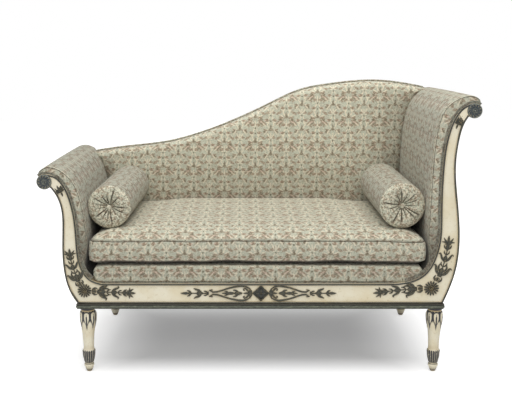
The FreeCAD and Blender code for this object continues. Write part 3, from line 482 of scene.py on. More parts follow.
def moulding_paint():
    """Base moulding: dark line under the rail and a worn grey-green band with a pale lower edge."""
    shade = Shade("moulding_paint")
    height = shade.parts(shade.place())[2]
    rub = shade.noise(shade.place((10, 10, 90)), 7.0, 4.0, 0.65)
    colour = shade.mix(shade.ramp(rub, 0.42, 0.68), srgb(56, 60, 50), srgb(112, 116, 96))
    colour = shade.mix(shade.ramp(rub, 0.64, 0.74, 0.0, 0.8), colour, srgb(196, 188, 158))
    top = shade.ramp(height, rail_bottom - 6 * MM, rail_bottom - 4 * MM)
    colour = shade.mix(top, colour, srgb(44, 40, 32))
    foot = shade.ramp(height, leg_top + 1.2 * MM, leg_top + 2.6 * MM, 0.55, 0.0)
    colour = shade.mix(foot, colour, srgb(60, 58, 50))
    return shade.finish(colour, 0.55, shade.bump(rub, 0.3 * MM))


def bare_wood():
    """Sawn hardwood with its grain."""
    shade = Shade("bare_wood")
    grain = shade.noise(shade.place((4, 4, 40)), 9.0, 5.0, 0.6)
    colour = shade.mix(shade.ramp(grain, 0.3, 0.7), srgb(196, 160, 112), srgb(150, 112, 70))
    return shade.finish(colour, 0.75, shade.bump(grain, 0.3 * MM))


def coarse_weave(name, light, dark, pitch):
    """Open plain weave in three directions of the object."""
    shade = Shade(name)
    turns = 2 * math.pi / pitch
    waves = [shade.math("SINE", shade.math("MULTIPLY", way, turns)) for way in shade.parts(shade.place())]
    weave = shade.math("ADD", shade.math("MULTIPLY", waves[0], waves[1]), waves[2])
    colour = shade.mix(shade.ramp(weave, -1.2, 1.2), dark, light)
    return shade.finish(colour, 0.9, shade.bump(weave, 0.4 * MM))


# One cloth, figured or plain, darker or lighter by piece to match the light of the photograph
cloth = figured_cloth("figured_cloth", light=0.95)
back_cloth = figured_cloth("back_cloth", light=1.10)
low_arm_cloth = figured_cloth("low_arm_cloth", light=0.70)
high_arm_cloth = figured_cloth("high_arm_cloth", light=0.79)
boxing_cloth = figured_cloth("boxing_cloth", light=0.98, shift=(0.02, 0.03))
bolster_cloth = figured_cloth("bolster_cloth", light=0.72)
outside_cloth = figured_cloth("outside_cloth", light=0.97, shift=(0.03, 0.0))
welt_cloth = figured_cloth("welt_cloth", light=0.80, plain=True)
# Painted shade: the double welts and the deck cord take a much darker copy of the cloth, for the gaps they
# lie in
double_welt_cloth = figured_cloth("double_welt_cloth", light=0.42, plain=True)
bolster_end_cloth = figured_cloth("bolster_end_cloth", light=1.06, plain=True)
button_cloth = figured_cloth("button_cloth", light=1.14, plain=True)
ivory = aged_paint("ivory_paint")
leg_paint = aged_paint("leg_paint", carved=True)
bead_paint = bead_paint_look()
band_paint = moulding_paint()
carving = carving_paint("carving_paint", srgb(18, 19, 15), srgb(44, 45, 35), srgb(138, 120, 76))
scroll_paint = carving_paint("scroll_paint", srgb(14, 17, 20), srgb(56, 64, 68), srgb(150, 152, 134))
hardwood = bare_wood()
jute = coarse_weave("jute", srgb(190, 160, 116), srgb(120, 92, 58), 3 * MM)
sacking = coarse_weave("sacking", srgb(186, 160, 120), srgb(128, 102, 66), 2 * MM)
black_cotton = coarse_weave("black_cotton", srgb(40, 40, 42), srgb(22, 22, 24), 1.2 * MM)


# Arms: both edges of each post as in the construction, in shares of the reach and the rise


class Arm:
    """Edges of the posts of one arm and the padding over them, out from the leg's axis and up."""
    scroll_angles = (75, 60, 45)

    def __init__(self, name, side, scroll_radius, heel, outer, inner, thick, thick_rear, crest_cross):
        self.name = name
        self.side = side
        self.leg_x = middle("leg_front_" + name)[0]
        bar = middle("scroll_rail_" + name)
        self.radius = scroll_radius
        self.reach = side * (bar[0] - self.leg_x)
        self.level = bar[2]
        rise = self.level - rail_bottom
        span = self.level + self.radius - rail_top
        self.heel = heel
        self.outer = [(heel, rail_bottom)] + [(self.reach * u, rail_bottom + rise * v) for u, v in outer]
        self.outer.append(self.on_scroll(-45, -1))
        self.inner = [(self.reach * u, rail_top + span * v) for u, v in inner]
        self.pad_foot = self.inner[1:] + [self.on_scroll(angle) for angle in self.scroll_angles]
        self.thick = thick
        self.thick_rear = thick_rear
        self.crest_cross = crest_cross

    def on_scroll(self, angle, sign=1):
        turn = math.radians(angle)
        return self.reach + sign * self.radius * math.cos(turn), self.level + self.radius * math.sin(turn)

    def x(self, out):
        return self.leg_x + self.side * out

    def at(self, line, y):
        """Out and up as points at a depth."""
        return points_of(self.x(line[:, 0]), y, line[:, 1])

    def pad_line(self, count):
        """Under side of the padding, with its thickness at the front and at the rear."""
        rows = [(*point, a * MM, b * MM) for point, a, b in zip(self.pad_foot, self.thick, self.thick_rear)]
        return spline(rows, count)


low_arm = Arm(
    "low", -1, 27.5 * MM, 28 * MM,
    outer=[(0.41, 0.100), (0.56, 0.282), (0.585, 0.40), (0.563, 0.612), (0.60, 0.812), (0.75, 0.916)],
    inner=[(-0.43, 0.0), (-0.156, 0.037), (0.0, 0.094), (0.111, 0.179), (0.163, 0.286),
           (0.193, 0.497), (0.252, 0.666), (0.356, 0.805), (0.511, 0.914), (0.741, 0.984), (1.0, 1.0)],
    thick=[3, 5, 16, 30, 34, 33, 34, 32, 29, 23, 18, 13, 4],
    thick_rear=[3, 5, 14, 26, 28, 26, 25, 25, 22, 17, 14, 10, 4],
    crest_cross=0.752)
high_arm = Arm(
    "high", 1, 27 * MM, 19 * MM,
    outer=[(0.33, 0.054), (0.594, 0.183), (0.68, 0.312), (0.594, 0.504), (0.453, 0.745),
           (0.528, 0.852), (0.708, 0.945)],
    inner=[(-1.51, 0.0), (-1.113, 0.008), (-0.764, 0.025), (-0.472, 0.056), (-0.255, 0.104),
           (-0.104, 0.168), (-0.019, 0.233), (0.0, 0.387), (0.009, 0.643), (0.075, 0.767),
           (0.208, 0.863), (0.443, 0.944), (0.755, 0.989), (1.0, 1.0)],
    thick=[2, 3, 5, 12, 26, 38, 39, 35, 37, 42, 43, 33, 24, 20, 15, 5],
    thick_rear=[2, 3, 5, 12, 25, 34, 34, 32, 33, 35, 34, 24, 16, 14, 12, 4],
    crest_cross=1.006)
arms = (low_arm, high_arm)


def arm_pad(arm):
    """Padding of an arm: a boxing band that faces forward, a soft front edge and a long side."""
    stations = 110
    # Points across the boxing, round the soft edge and along the side
    band, roll, deep = 7, 5, 26
    line = arm.pad_line(stations)
    out = left_of(line)
    far = lengths_along(line)
    under = 0.3 * MM
    band_front = arm_pad_front + 2 * MM
    rows = []
    cloth_rows = []
    for index in range(stations):
        base = line[index, :2]
        normal = out[index]
        thick_front, thick_rear = line[index, 2:4]
        height = base[1] + normal[1] * thick_rear
        over = smooth_step(height, arm.crest_cross - 0.012, arm.crest_cross + 0.004)
        rear = (crest_low[1] - 1 * MM) * (1 - over) + rear_of_arm_pad * over
        soft = min(arm_pad_roll, thick_front * 0.6)
        start = arm_pad_front + soft
        spots = []
        for share in np.arange(band) / band:
            bulge = 2.5 * MM * math.sin(math.pi * (share * 0.8 + 0.1))
            spots.append((share * (thick_front - soft), band_front - bulge))
        for turn in math.pi / 2 * np.arange(roll) / roll:
            thick = thick_front - soft + soft * math.sin(turn)
            spots.append((thick, arm_pad_front + soft * (1 - math.cos(turn))))
        for share in np.arange(deep + 1) / deep:
            thick = thick_front + (thick_rear - thick_front) * share + 1.5 * MM * math.sin(math.pi * share)
            spots.append((thick, start + (rear - start) * share))
        edge = spots[-1][0] - 1.5 * MM
        spots[-1] = (edge, rear - 1 * MM)
        spots += [(edge * 0.5, rear), (under, rear), (under, 0.0), (under, band_front), spots[0]]
        spots = np.array(spots)
        away = base + normal * spots[:, :1]
        rows.append(points_of(arm.x(away[:, 0]), spots[:, 1], away[:, 1]))
        cloth_rows.append(np.stack(np.broadcast_arrays(lengths_along(spots), far[index]), axis=1))
    points = np.array(rows)
    soft_part = slice(band, band + roll + deep)
    uneven = wander(points, 0.06, 3 + arm.side) * 0.54 * MM
    for axis in (0, 2):
        points[:, soft_part, axis] += uneven[:, soft_part]
    piece = skin("arm_pad_cover_" + arm.name, points, np.array(cloth_rows))
    # Painted shade: the cloth grows darker low on the arm pad, towards the deck
    shaded = 1 - smooth_step(points[:, :-1, 2], rail_top + 0.02, rail_top + 0.33)
    mark(piece, "crease", 0.88 * shaded)
    # Painted shade: each arm takes a darker copy of the cloth, the low arm the darkest
    arm_cloth = low_arm_cloth if arm is low_arm else high_arm_cloth
    dress(piece, "frame", arm_cloth, "figured_fabric", "arm_pad_" + arm.name)
    piece.data.materials.append(boxing_cloth)
    columns = points.shape[1] - 1
    for face in piece.data.polygons[:(stations - 1) * columns]:
        if face.index % columns < band + roll - 1:
            face.material_index = 1


def arm_welts(arm):
    """Double welt between the wood and the boxing, one cord on the front edge, and a dark cord at its foot
    that is painted shade in the low corner by the deck.
    """
    whole = spline(arm.pad_foot, 190)
    foot = whole[:60]
    rods = []
    # The third cord, along the foot, is a dark filler put there as painted shade
    cords = ((whole, 2.4, -1.0, 2.2), (whole, 6.6, -0.4, 2.2), (foot, 11, 1.6, 2.8))
    for line, off, ahead, radius in cords:
        path = arm.at(line + left_of(line) * off * MM, arm_pad_front + ahead * MM)
        rods.append(tube("welt", path, radius * MM))
    line = arm.pad_line(150)
    edge = line[:, 2] - np.minimum(arm_pad_roll, line[:, 2] * 0.6) * 0.35
    path = arm.at(line[:, :2] + left_of(line) * edge[:, None], arm_pad_front + 0.6 * MM)
    rods.append(tube("welt", path[6:-2], 1.3 * MM))
    piece = join("arm_double_welt_" + arm.name, rods)
    dress(piece, "frame", double_welt_cloth, "welt_cord", "arm_welt_" + arm.name)


# Back: its crest in shares of the spacing of the legs and of the rise between both arms

middle_x = (low_arm.leg_x + high_arm.leg_x) / 2
leg_spacing = high_arm.leg_x - low_arm.leg_x
crest_start = low_arm.level + low_arm.radius + 5.5 * MM
crest_end = high_arm.level + high_arm.radius + 45 * MM
crest_shares = [
    (-0.085, -0.06), (0.066, 0.035), (0.184, 0.096), (0.303, 0.232), (0.538, 0.666), (0.638, 0.863),
    (0.738, 0.949), (0.888, 1.0), (1.085, 0.87)]
crest_knots = []
for along, up in crest_shares:
    height = crest_start + (crest_end - crest_start) * up
    crest_knots.append((middle_x + leg_spacing * (along - 0.5), height))
crest = spline(crest_knots, 300)


def crest_height(x):
    return np.interp(x, crest[:, 0], crest[:, 1])


# Seams of the back with both arms, from the deck up: along from the middle, and height
low_seam = np.array([
    (-0.618, 0.40), (-0.626, 0.47), (-0.634, 0.56), (-0.646, 0.61), (-0.659, 0.647), (-0.686, 0.716),
    (-0.717, 0.750), (-0.722, 0.80)])
high_seam = np.array([
    (0.596, 0.40), (0.600, 0.50), (0.604, 0.60), (0.612, 0.691), (0.616, 0.760), (0.621, 0.828),
    (0.630, 0.895), (0.646, 0.949), (0.672, 0.994), (0.706, 1.012), (0.716, 1.06)])


def seam_x(seam, height):
    return np.interp(height, seam[:, 1], seam[:, 0]) + middle_x


def back_cover():
    """Padded front of the back: gently crowned, rolled over at the crest, seamed to both arms."""
    columns = 150
    tall = 60
    roll_steps = 8
    bottom = deck_high[2] + 1 * MM
    roll = 24 * MM
    face = pad_low[1]
    rear = pad_high[1]
    across = np.linspace(0, 1, columns)
    profile = [(share, 0.0, 0.0) for share in np.linspace(0, 1, tall)]
    for step in range(1, roll_steps + 1):
        turn = math.pi / 2 * step / roll_steps
        profile.append((1.0, math.sin(turn), 1 - math.cos(turn)))
    rows = []
    cloth_rows = []
    for share, rise, into in profile:
        # The seams end a row where its height says, and the crest gives the height, so it is repeated
        left, right = -0.66, 0.62
        for _ in range(6):
            x = left + (right - left) * across
            height = bottom + (crest_height(x) - roll - bottom) * share + roll * rise
            left = seam_x(low_seam, height)
            right = seam_x(high_seam, height)
        crown = 6 * MM * np.sin(math.pi * across) ** 0.5 * math.sin(math.pi * share)
        edge = np.minimum(x - left, right - x)
        tuck = 10 * MM * (1 - smooth_step(edge, 0.0, 22 * MM))
        rows.append(points_of(x, face + roll * into - crown * (1 - into) + tuck, height))
        cloth_rows.append(np.stack([x, height - bottom + roll * into * 0.9], axis=1))
    last = rows[-1].copy()
    last[:, 1] = rear
    low_edge = last.copy()
    low_edge[:, 2] = bottom
    left = seam_x(low_seam, bottom)
    low_edge[:, 0] = left + (seam_x(high_seam, bottom) - left) * across
    rows += [last, low_edge, rows[0]]
    for length in (rear - face - roll, 0.4, 0.05):
        cloth_rows.append(cloth_rows[-1] + np.array([0, length]))
    points = np.array(rows)
    soft_rows = tall + roll_steps
    soft = wander(points[:soft_rows], 0.09, 11) * 1.6 * MM
    points[:soft_rows, :, 1] += soft * smooth_step(np.arange(soft_rows), 0, 3)[:, None]
    points = points.transpose(1, 0, 2)
    piece = skin("back_cover", points, np.array(cloth_rows).transpose(1, 0, 2))
    x, height = points[:, :-1, 0], points[:, :-1, 2]
    # Painted shade: darker low on the back and beside each arm, most beside the high arm
    by_high_arm = np.exp(-((seam_x(high_seam, height) - x) / 0.12) ** 2)
    by_low_arm = np.exp(-((x - seam_x(low_seam, height)) / 0.05) ** 2)
    shade = 0.30 * (1 - smooth_step(height, 0.50, 0.86))
    shade += 0.42 * by_high_arm * (1 - smooth_step(height, 0.96, 1.04))
    shade += 0.35 * by_low_arm * (1 - smooth_step(height, 0.70, 0.76))
    mark(piece, "crease", shade)
    dress(piece, "frame", back_cloth, "figured_fabric", "back_pad")


def crest_piping():
    """Thin cord along the crest, behind the roll of the padding."""
    inside = crest[(crest[:, 0] > low_arm.x(0.062)) & (crest[:, 0] < high_arm.x(0.066))]
    path = points_of(inside[:, 0], pad_high[1] - 4 * MM, inside[:, 1] + 3.2 * MM)
    dress(tube("crest_piping", path, 3.6 * MM, 10), "frame", welt_cloth, "welt_cord", "back_piping")


# Seat


def rounded_outline(half_x, half_y, corner, draw, steps=40, turn_steps=8):
    """Outline of a level section, drawn in between its corners, from the low front corner round."""
    points = []
    sides = ((half_x, half_y, 0), (half_y, half_x, 1), (half_x, half_y, 2), (half_y, half_x, 3))
    for half, reach, quarter in sides:
        straight = half - corner
        shares = np.linspace(-1, 1, steps)
        local = [(share * straight, -reach + draw * (1 - share ** 2)) for share in shares]
        for turn in np.radians(np.linspace(-90, 0, turn_steps + 2)[1:-1]):
            local.append((straight + corner * math.cos(turn), -reach + corner * (1 + math.sin(turn))))
        for along, out in local:
            for _ in range(quarter):
                along, out = -out, along
            points.append((along, out))
    return np.array(points + points[:1])


def seat_cushion():
    """Loose cushion: deep border, crowned top, puckered seams and a slightly wavy underside."""
    centre = (cushion_low + cushion_high) / 2
    half = (cushion_high - cushion_low) / 2
    foot = cushion_low[2]
    top = cushion_high[2]
    crown = 47 * MM
    seam = top - crown
    corner = 30 * MM
    side_draw = 8 * MM
    # Section as inset and height: the underside out to its edge, the border, the seam and the top
    profile = []
    for inset, height in ((150, 5), (80, 2.5), (40, 1), (24, 0.8), (14, 3.5), (7, 8.5), (2.5, 15)):
        profile.append((inset * MM, foot + height * MM))
    for share in np.linspace(0.15, 1, 14)[:-1]:
        bulge = -4.5 * MM * math.sin(math.pi * share)
        profile.append((3 * MM + bulge, foot + (seam - foot) * share))
    profile += [(3.0 * MM, seam - 2.5 * MM), (4.2 * MM, seam - 0.8 * MM), (4.6 * MM, seam),
                (5.2 * MM, seam + 0.8 * MM), (8 * MM, seam + 3.2 * MM)]
    border = len(profile)
    for inset in (14, 22, 34, 50, 72, 100, 135, 175, 220, 262, half[1] / MM - 3):
        share = min(inset / 260, 1.0)
        profile.append((inset * MM, seam + 3.2 * MM + (crown - 3.2 * MM) * (1 - (1 - share) ** 3.6)))
    rows = []
    for inset, height in profile:
        inward = max(inset, 0)
        left = 1 - inward / half[1]
        half_x, half_y = half[:2] - inward
        ring = rounded_outline(half_x, half_y, max(corner * left, 2 * MM), side_draw * left)
        if inset < 0:
            ring = ring * (1 - inset / half[:2])
        rows.append(points_of(centre[0] + ring[:, 0], centre[1] + ring[:, 1], height))
    points = np.array(rows)
    around = lengths_along(points[10])
    cloth_map = np.zeros(points.shape[:2] + (2,))
    for r, (_, height) in enumerate(profile):
        if r < border:
            cloth_map[r, :, 0] = around + points[10, 0, 0]
            cloth_map[r, :, 1] = height - seam
        else:
            cloth_map[r] = points[r, :, :2] - (0, cushion_low[1] - 4 * MM)
    x = points[..., 0]
    y = points[..., 1]
    z = points[..., 2]
    # Wavy lower edge at the front
    sag = 3.0 * MM * np.sin((x - 0.1) * 9.0) + 2.2 * MM * np.sin(x * 23.0 + 1.0)
    near_foot = 1 - smooth_step(z, foot + 2 * MM, foot + 60 * MM)
    front_side = 1 - smooth_step(y, cushion_low[1] + 0.03, cushion_low[1] + 0.09)
    z += (np.abs(sag) + 3.5 * MM) * near_foot * front_side
    # Puckers beside the seam and soft unevenness of the border
    pucker = wander(points * (1, 1, 0.25), 0.016, 21)
    by_seam = np.exp(-((z - seam) / (13 * MM)) ** 2)
    y += (pucker * 1.3 * by_seam + wander(points, 0.11, 5) * 1.8) * MM * front_side
    # Top: full towards the rear, uneven, and drawn down along its seam
    top_side = smooth_step(z, seam, seam + 14 * MM)
    inside = 1 - smooth_step(np.abs(x - centre[0]), half[0] - 0.10, half[0] - 0.02)
    full_rear = smooth_step(y, centre[1] + 0.02, centre[1] + 0.2) * inside
    above = smooth_step(z, seam - 20 * MM, seam)
    z += (top - 3 * MM - z) * full_rear * above * 0.85
    z += (wander(points, 0.15, 8) * 2.2 - 1.2) * MM * top_side
    level = points * (1, 1, 0.0)
    wave = wander(level, 0.13, 17) * 3.5 + wander(level, 0.04, 19) * 1.2
    z += wave * MM * np.exp(-((z - seam) / (24 * MM)) ** 2)
    gather = wander(points * (1, 0.2, 1), 0.022, 23) * 1.3 * MM
    z += gather * np.exp(-((z - seam - 6 * MM) / (12 * MM)) ** 2)
    middle_part = 1 - smooth_step(np.abs(x - centre[0]), 0.28, 0.44)
    z += 13 * MM * smooth_step(y, cushion_low[1] + 0.2, cushion_high[1] - 0.05) * middle_part * above
    points[:, -1] = points[:, 0]
    piece = skin("loose_seat_cushion", points, cloth_map)
    # Shade on the underside and in the seam
    dark = np.zeros(len(profile))
    dark[:7] = 1.0, 1.0, 1.0, 1.0, 1.0, 0.9, 0.35
    dark[border - 3:border] = 0.55, 1.0, 0.55
    mark(piece, "crease", np.repeat(dark[:, None], points.shape[1] - 1, axis=1))
    dress(piece, "seat_cushion", cloth, "figured_fabric", "seat_cushion")


def seat_deck():
    """Stuffed platform under the cushion, with round ends and a soft front."""
    centre = (deck_low + deck_high)[[0, 2]] / 2
    half = (deck_high - deck_low)[[0, 2]] / 2 - (0, 0.4 * MM)
    outline = rounded_outline(half[0], half[1], 27 * MM, 0.0, 120, 10)
    # How far each section lies behind the front, and how much smaller it is
    sections = ((0.0, 9.0), (0.5, 6.5), (2.0, 4.0), (5.0, 1.8), (9.0, 0.6), (14.0, 0.0), (30.0, 0.0),
                (120.0, 0.0), (300.0, 0.0), (480.0, 0.0), (640.0, 0.0))
    slices = []
    for depth, less in sections:
        ring = centre + outline * (1 - less * MM / half)
        slices.append(points_of(ring[:, 0], deck_low[1] + depth * MM, ring[:, 1]))
    cap = []
    for share in (0.55, 0.8):
        ring = slices[0].copy()
        ring[:, 2] = centre[1] + (ring[:, 2] - centre[1]) * share
        ring[:, 1] -= 1.2 * MM * (1 - share)
        cap.append(ring)
    points = np.array(cap + slices)
    points[..., 1] = np.minimum(points[..., 1], min(deck_high[1], crest_high[1]))
    x, y, z = points[..., 0], points[..., 1], points[..., 2]
    cloth_map = np.stack([x, z - deck_low[2] + (y - deck_low[1]) * (z > centre[1])], axis=-1)
    points[:6, :, 1] += wander(points[:6], 0.08, 31) * 1.2 * MM
    piece = skin("seat_deck_cover", points, cloth_map)
    dress(piece, "frame", cloth, "figured_fabric", "seat_deck")


# Bolsters

fold_count = 15
gather_shares = (0.10, 0.14, 0.19, 0.25, 0.32, 0.40, 0.48, 0.56, 0.64, 0.72, 0.80, 0.87, 0.93, 0.965, 0.985)
bolster_sides = 180
round_bolster = np.linspace(0, 2 * math.pi, bolster_sides + 1)


def gathers(seed):
    """How deep the gathered end folds in at each angle, from uneven creases."""
    valley = np.zeros(bolster_sides + 1)
    for index in range(fold_count):
        jitter = noise.noise(Vector((index * 1.7, seed, 0.3)))
        angle = 2 * math.pi * (index + 0.5 * jitter) / fold_count
        width = 0.058 + 0.026 * noise.noise(Vector((index, seed, 4.0)))
        deep = 0.75 + 0.8 * noise.noise(Vector((seed, index * 2.3, 1.0)))
        gap = np.angle(np.exp(1j * (round_bolster - angle)))
        valley += deep * np.exp(-(gap / width) ** 2)
    return valley


def turned(points, turn, centre):
    """Points about a bolster's own middle, turned about Z and moved to its place."""
    x, y, z = points[..., 0], points[..., 1], points[..., 2]
    cosine, sine = math.cos(turn), math.sin(turn)
    return points_of(centre[0] + x * cosine + y * sine, centre[1] - x * sine + y * cosine, centre[2] + z)


def bolster(arm, radius, turn, seed, sink):
    """Round bolster with ends gathered in folds to a covered button; it sinks into the cushion."""
    low, high = corner_pair("bolster_" + arm.name)
    turn = math.radians(turn)
    centre = (low + high) / 2 - (0, 0, sink)
    length = high[1] - low[1] - 2 * radius * math.sin(abs(turn)) * 0.9
    valley = gathers(seed)
    uneven = 0.68 + 0.2 * np.sin(round_bolster * 5 + seed) + 0.1 * np.sin(round_bolster * 11)
    # Rows of one end, from its button out: radius, depth, painted shade in the folds and length of cloth
    end_rows = []
    for share in gather_shares:
        pull = 17 * MM * math.exp(-((share - 0.08) / 0.22) ** 2)
        swell = -3.5 * MM * math.sin(math.pi * smooth_step(share, 0.2, 1.0))
        crease = valley * 8 * MM * (1 - smooth_step(share, 0.25, 0.86)) * smooth_step(share, 0.05, 0.18)
        edge = 7 * MM * smooth_step(share, 0.84, 1.0) ** 1.5
        # Painted shade in the folds of the gathered end, fading out towards its rim
        fade = (1 - smooth_step(share, uneven - 0.25, uneven + 0.12)) * 0.95
        dark = np.clip(valley * 2.2 - 0.3, 0, 1) * fade
        end_rows.append((share * radius, pull + swell + crease + edge + 3.5 * MM, dark, share * radius))
    rows = end_rows + [(radius * 0.996, 12.5 * MM, 0, radius * 0.996), (radius, 19 * MM, 0, radius)]
    other_end = []
    for size, depth, dark, run in rows[::-1]:
        other_end.append((size, length - depth, dark, 2 * radius + length - run))
    for share in np.linspace(0.08, 0.92, 22):
        rows.append((radius, share * length, 0, radius + share * length))
    rows += other_end
    points = []
    cloth_rows = []
    darks = []
    for size, depth, dark, run in rows:
        points.append(points_of(size * np.cos(round_bolster), depth, size * np.sin(round_bolster)))
        cloth_rows.append(np.stack(np.broadcast_arrays(run, round_bolster * radius), axis=1))
        darks.append(np.broadcast_to(dark, bolster_sides + 1))
    points = np.array(points)
    soft = wander(points * (1, 0.5, 1), 0.05, seed) * 1.1 * MM
    points[..., 0] += soft * np.cos(round_bolster)
    points[..., 2] += soft * np.sin(round_bolster)
    points[:, -1] = points[:, 0]
    points[..., 1] -= length / 2
    placed = turned(points, turn, centre)
    # The cover lies further back than its buttons, by its place along the seat times the turn
    placed[..., 1] -= (placed[..., 0] - points[..., 0]) * math.sin(turn)
    piece = skin("bolster_cover_" + arm.name, placed, np.array(cloth_rows))
    mark(piece, "crease", np.array(darks)[:, :-1])
    dress(piece, "bolster_" + arm.name, bolster_cloth, "figured_fabric", "bolster_" + arm.name)
    # Painted light: the gathered ends take a lighter copy of the cloth than the body
    piece.data.materials.append(bolster_end_cloth)
    quads = bolster_sides * len(end_rows)
    last = len(piece.data.polygons) - 2
    for face in piece.data.polygons:
        if face.index < quads or last - quads <= face.index < last:
            face.material_index = 1
    around = round_bolster[::9]
    buttons = []
    for sign in (-1, 1):
        dome = []
        for rise in math.pi / 2 * np.arange(7) / 6:
            size = 9.5 * MM * math.cos(rise) + 0.2 * MM
            reach = sign * (length / 2 - 15 * MM + 6.5 * MM * math.sin(rise))
            dome.append(points_of(size * np.cos(around), reach, size * np.sin(around)))
        buttons.append(skin("button", turned(np.array(dome), turn, centre)))
    pair = join("bolster_button_pair_" + arm.name, buttons)
    # Painted highlight: the buttons take a lighter copy of the cloth
    dress(pair, "bolster_" + arm.name, button_cloth, "button_cloth", "bolster_buttons_" + arm.name)


# Show-wood: dark beads along every edge


def bead_lines():
    """Dark half-round beads on both edges of the posts and rails, front and rear."""
    inset = bead / 2
    rods = []
    for y in (front + 0.8 * MM, back_face - 0.8 * MM):
        paths = []
        for arm in arms:
            for knots, into in ((arm.outer, inset), (arm.inner, -inset)):
                line = spline(knots, 120)
                paths.append(arm.at(line + left_of(line) * into, y))
        heels = [arm.x(arm.heel - inset) for arm in arms]
        paths.append(points_of(np.linspace(*heels, 40), y, rail_bottom + inset))
        inner_ends = [arm.x(arm.inner[0][0]) for arm in arms]
        paths.append(points_of(np.linspace(*inner_ends, 40), y, rail_top - inset))
        rods += [tube("bead", path, inset, flat=0.75) for path in paths]
    dress(join("edge_beads", rods), "frame", bead_paint, "painted_wood")


def base_moulding():
    """Stepped moulding under the rails, mitred at its four corners."""
    names = ["base_moulding_" + side for side in ("front", "high", "rear", "low")]
    low = np.min([corner_pair(name)[0] for name in names], axis=0)
    high = np.max([corner_pair(name)[1] for name in names], axis=0)
    section = [(16, 18), (2.2, 18), (1.1, 17.4), (0.7, 16.2), (1.1, 15.0), (2.4, 14.2), (3.6, 14.0),
               (3.6, 13.4), (1.0, 12.6), (0.2, 11.0), (0, 8.8), (0.4, 6.4), (1.6, 4.6), (3.0, 3.6),
               (4.4, 3.2), (4.4, 2.4), (3.0, 2.2), (3.0, 0), (16, 0), (16, 18)]
    corners = ((low[0], low[1], 1, 1), (high[0], low[1], -1, 1), (high[0], high[1], -1, -1),
               (low[0], high[1], 1, -1))
    rows = []
    for x, y, right, back in corners + corners[:1]:
        rows.append([(x + right * inset * MM, y + back * inset * MM, leg_top + z * MM)
                     for inset, z in section])
    piece = skin("base_moulding_run", np.array(rows), caps=(False, False), smooth=False)
    shell = bmesh.new()
    shell.from_mesh(piece.data)
    bmesh.ops.remove_doubles(shell, verts=shell.verts, dist=1e-6)
    shell.to_mesh(piece.data)
    shell.free()
    dress(piece, "frame", band_paint, "moulding_paint", *names)


# Legs: turned, with a fluted cuff above the foot and leaf lobes under a ringed neck

# Radius and height of the turning in mm, from the foot up
leg_turning = [
    (0, 0), (8.2, 0), (9.2, 1), (12.5, 8), (15, 15), (15.8, 19), (18.2, 22), (18.6, 25), (17.8, 28.5),
    (14.6, 31), (14.2, 33.5), (15.2, 35), (17.5, 42), (19.9, 53), (21.6, 64), (22.2, 74), (22.4, 82),
    (20.4, 87), (19.6, 92), (19.6, 103), (20.6, 122), (21.8, 143), (24.0, 163), (26.6, 183),
    (28.4, 200), (29.2, 214), (28.4, 226), (25.8, 235), (25.0, 238), (25.6, 240), (27.8, 242),
    (28.4, 245), (27.8, 248), (26.4, 249.5), (27.0, 252)]
lobe_count = 7
flute_count = 18
leg_turn = 0.22


def leg_shape():
    """Rings of one leg about its axis, with how dark and how aged each point of the paint is."""
    line = spline(leg_turning[1:], 230)
    turn = np.linspace(0, 2 * math.pi, 113)
    radius, z = line[:, :1], line[:, 1:]
    # Leaf lobes under the neck, with a drop between each two
    lobe = np.abs((turn * lobe_count / (2 * math.pi) + 0.5) % 1 - 0.5) * 2
    edge = 0.22 + 0.58 * smooth_step(z, 176, 214)
    tip = 234 - 9 * lobe ** 2
    inside = (lobe < edge) & (z < tip) & (z > 174)
    span = smooth_step(z, 168, 200) * (1 - smooth_step(z, 228, 236))
    radius = radius + np.where(inside, 2.0 * (1 - (lobe / edge) ** 2), -0.6) * span
    drop_width = 0.26 * np.sin(math.pi * np.clip((z - 164) / 62, 0, 1)) ** 0.7
    drop = np.clip(1 - (lobe / np.maximum(drop_width, 0.01)) ** 2, 0, 1) * (z > 165) * (z < 225)
    radius = radius + drop * 1.3
    beside = np.exp(-((lobe - edge) / 0.15) ** 2) * smooth_step(z, 168, 196) * (z < 236)
    around_tip = np.exp(-((z - tip) / 2.6) ** 2) * (lobe < edge)
    between = (lobe > edge) * smooth_step(z, 186, 206) * (z < 236) * 0.9
    outline = np.maximum(beside + around_tip, between)
    dark = np.clip(outline * 0.95 + smooth_step(drop, 0.0, 0.3), 0, 1)
    # Fluted cuff with round heads over the foot
    flute_place = turn * flute_count / (2 * math.pi) % 1
    flute = np.cos(2 * math.pi * flute_place)
    arch = 82 + 4 * np.sin(math.pi * flute_place)
    cuff = smooth_step(z, 33, 36) * (1 - smooth_step(z, arch - 1.5, arch + 0.5))
    radius = radius + cuff * (0.9 * flute + 0.6)
    dark = np.maximum(dark, cuff * (0.78 - 0.3 * flute))
    # Dark ring at the neck and worn marks on the foot
    ring = smooth_step(z, 239.5, 241) * (1 - smooth_step(z, 248.5, 250))
    foot = smooth_step(z, 2, 5) * (1 - smooth_step(z, 11, 14))
    ankle = smooth_step(z, 27, 29) * (1 - smooth_step(z, 31, 33))
    dark = np.maximum(dark, np.maximum(ring * 0.95, (foot + ankle) * 0.5))
    age = smooth_step(z, 232, 237) * 0.75 + 0.25 * (1 - smooth_step(z, 92, 112)) * smooth_step(z, 84, 88)
    return radius * MM, z * MM, turn, dark, np.broadcast_to(age, dark.shape)


def legs():
    radius, z, turn, dark, age = leg_shape()
    turn = turn + leg_turn
    for name in ("front_low", "front_high", "rear_low", "rear_high"):
        centre = middle("leg_" + name)
        points = points_of(centre[0] + radius * np.cos(turn), centre[1] + radius * np.sin(turn), z)
        piece = skin("carved_leg_" + name, points)
        mark(piece, "dark", dark[:, :-1])
        mark(piece, "age", age[:, :-1])
        dress(piece, "frame", leg_paint, "painted_wood", "leg_" + name)


# Carving on the front: domed strips along lines of the elevation


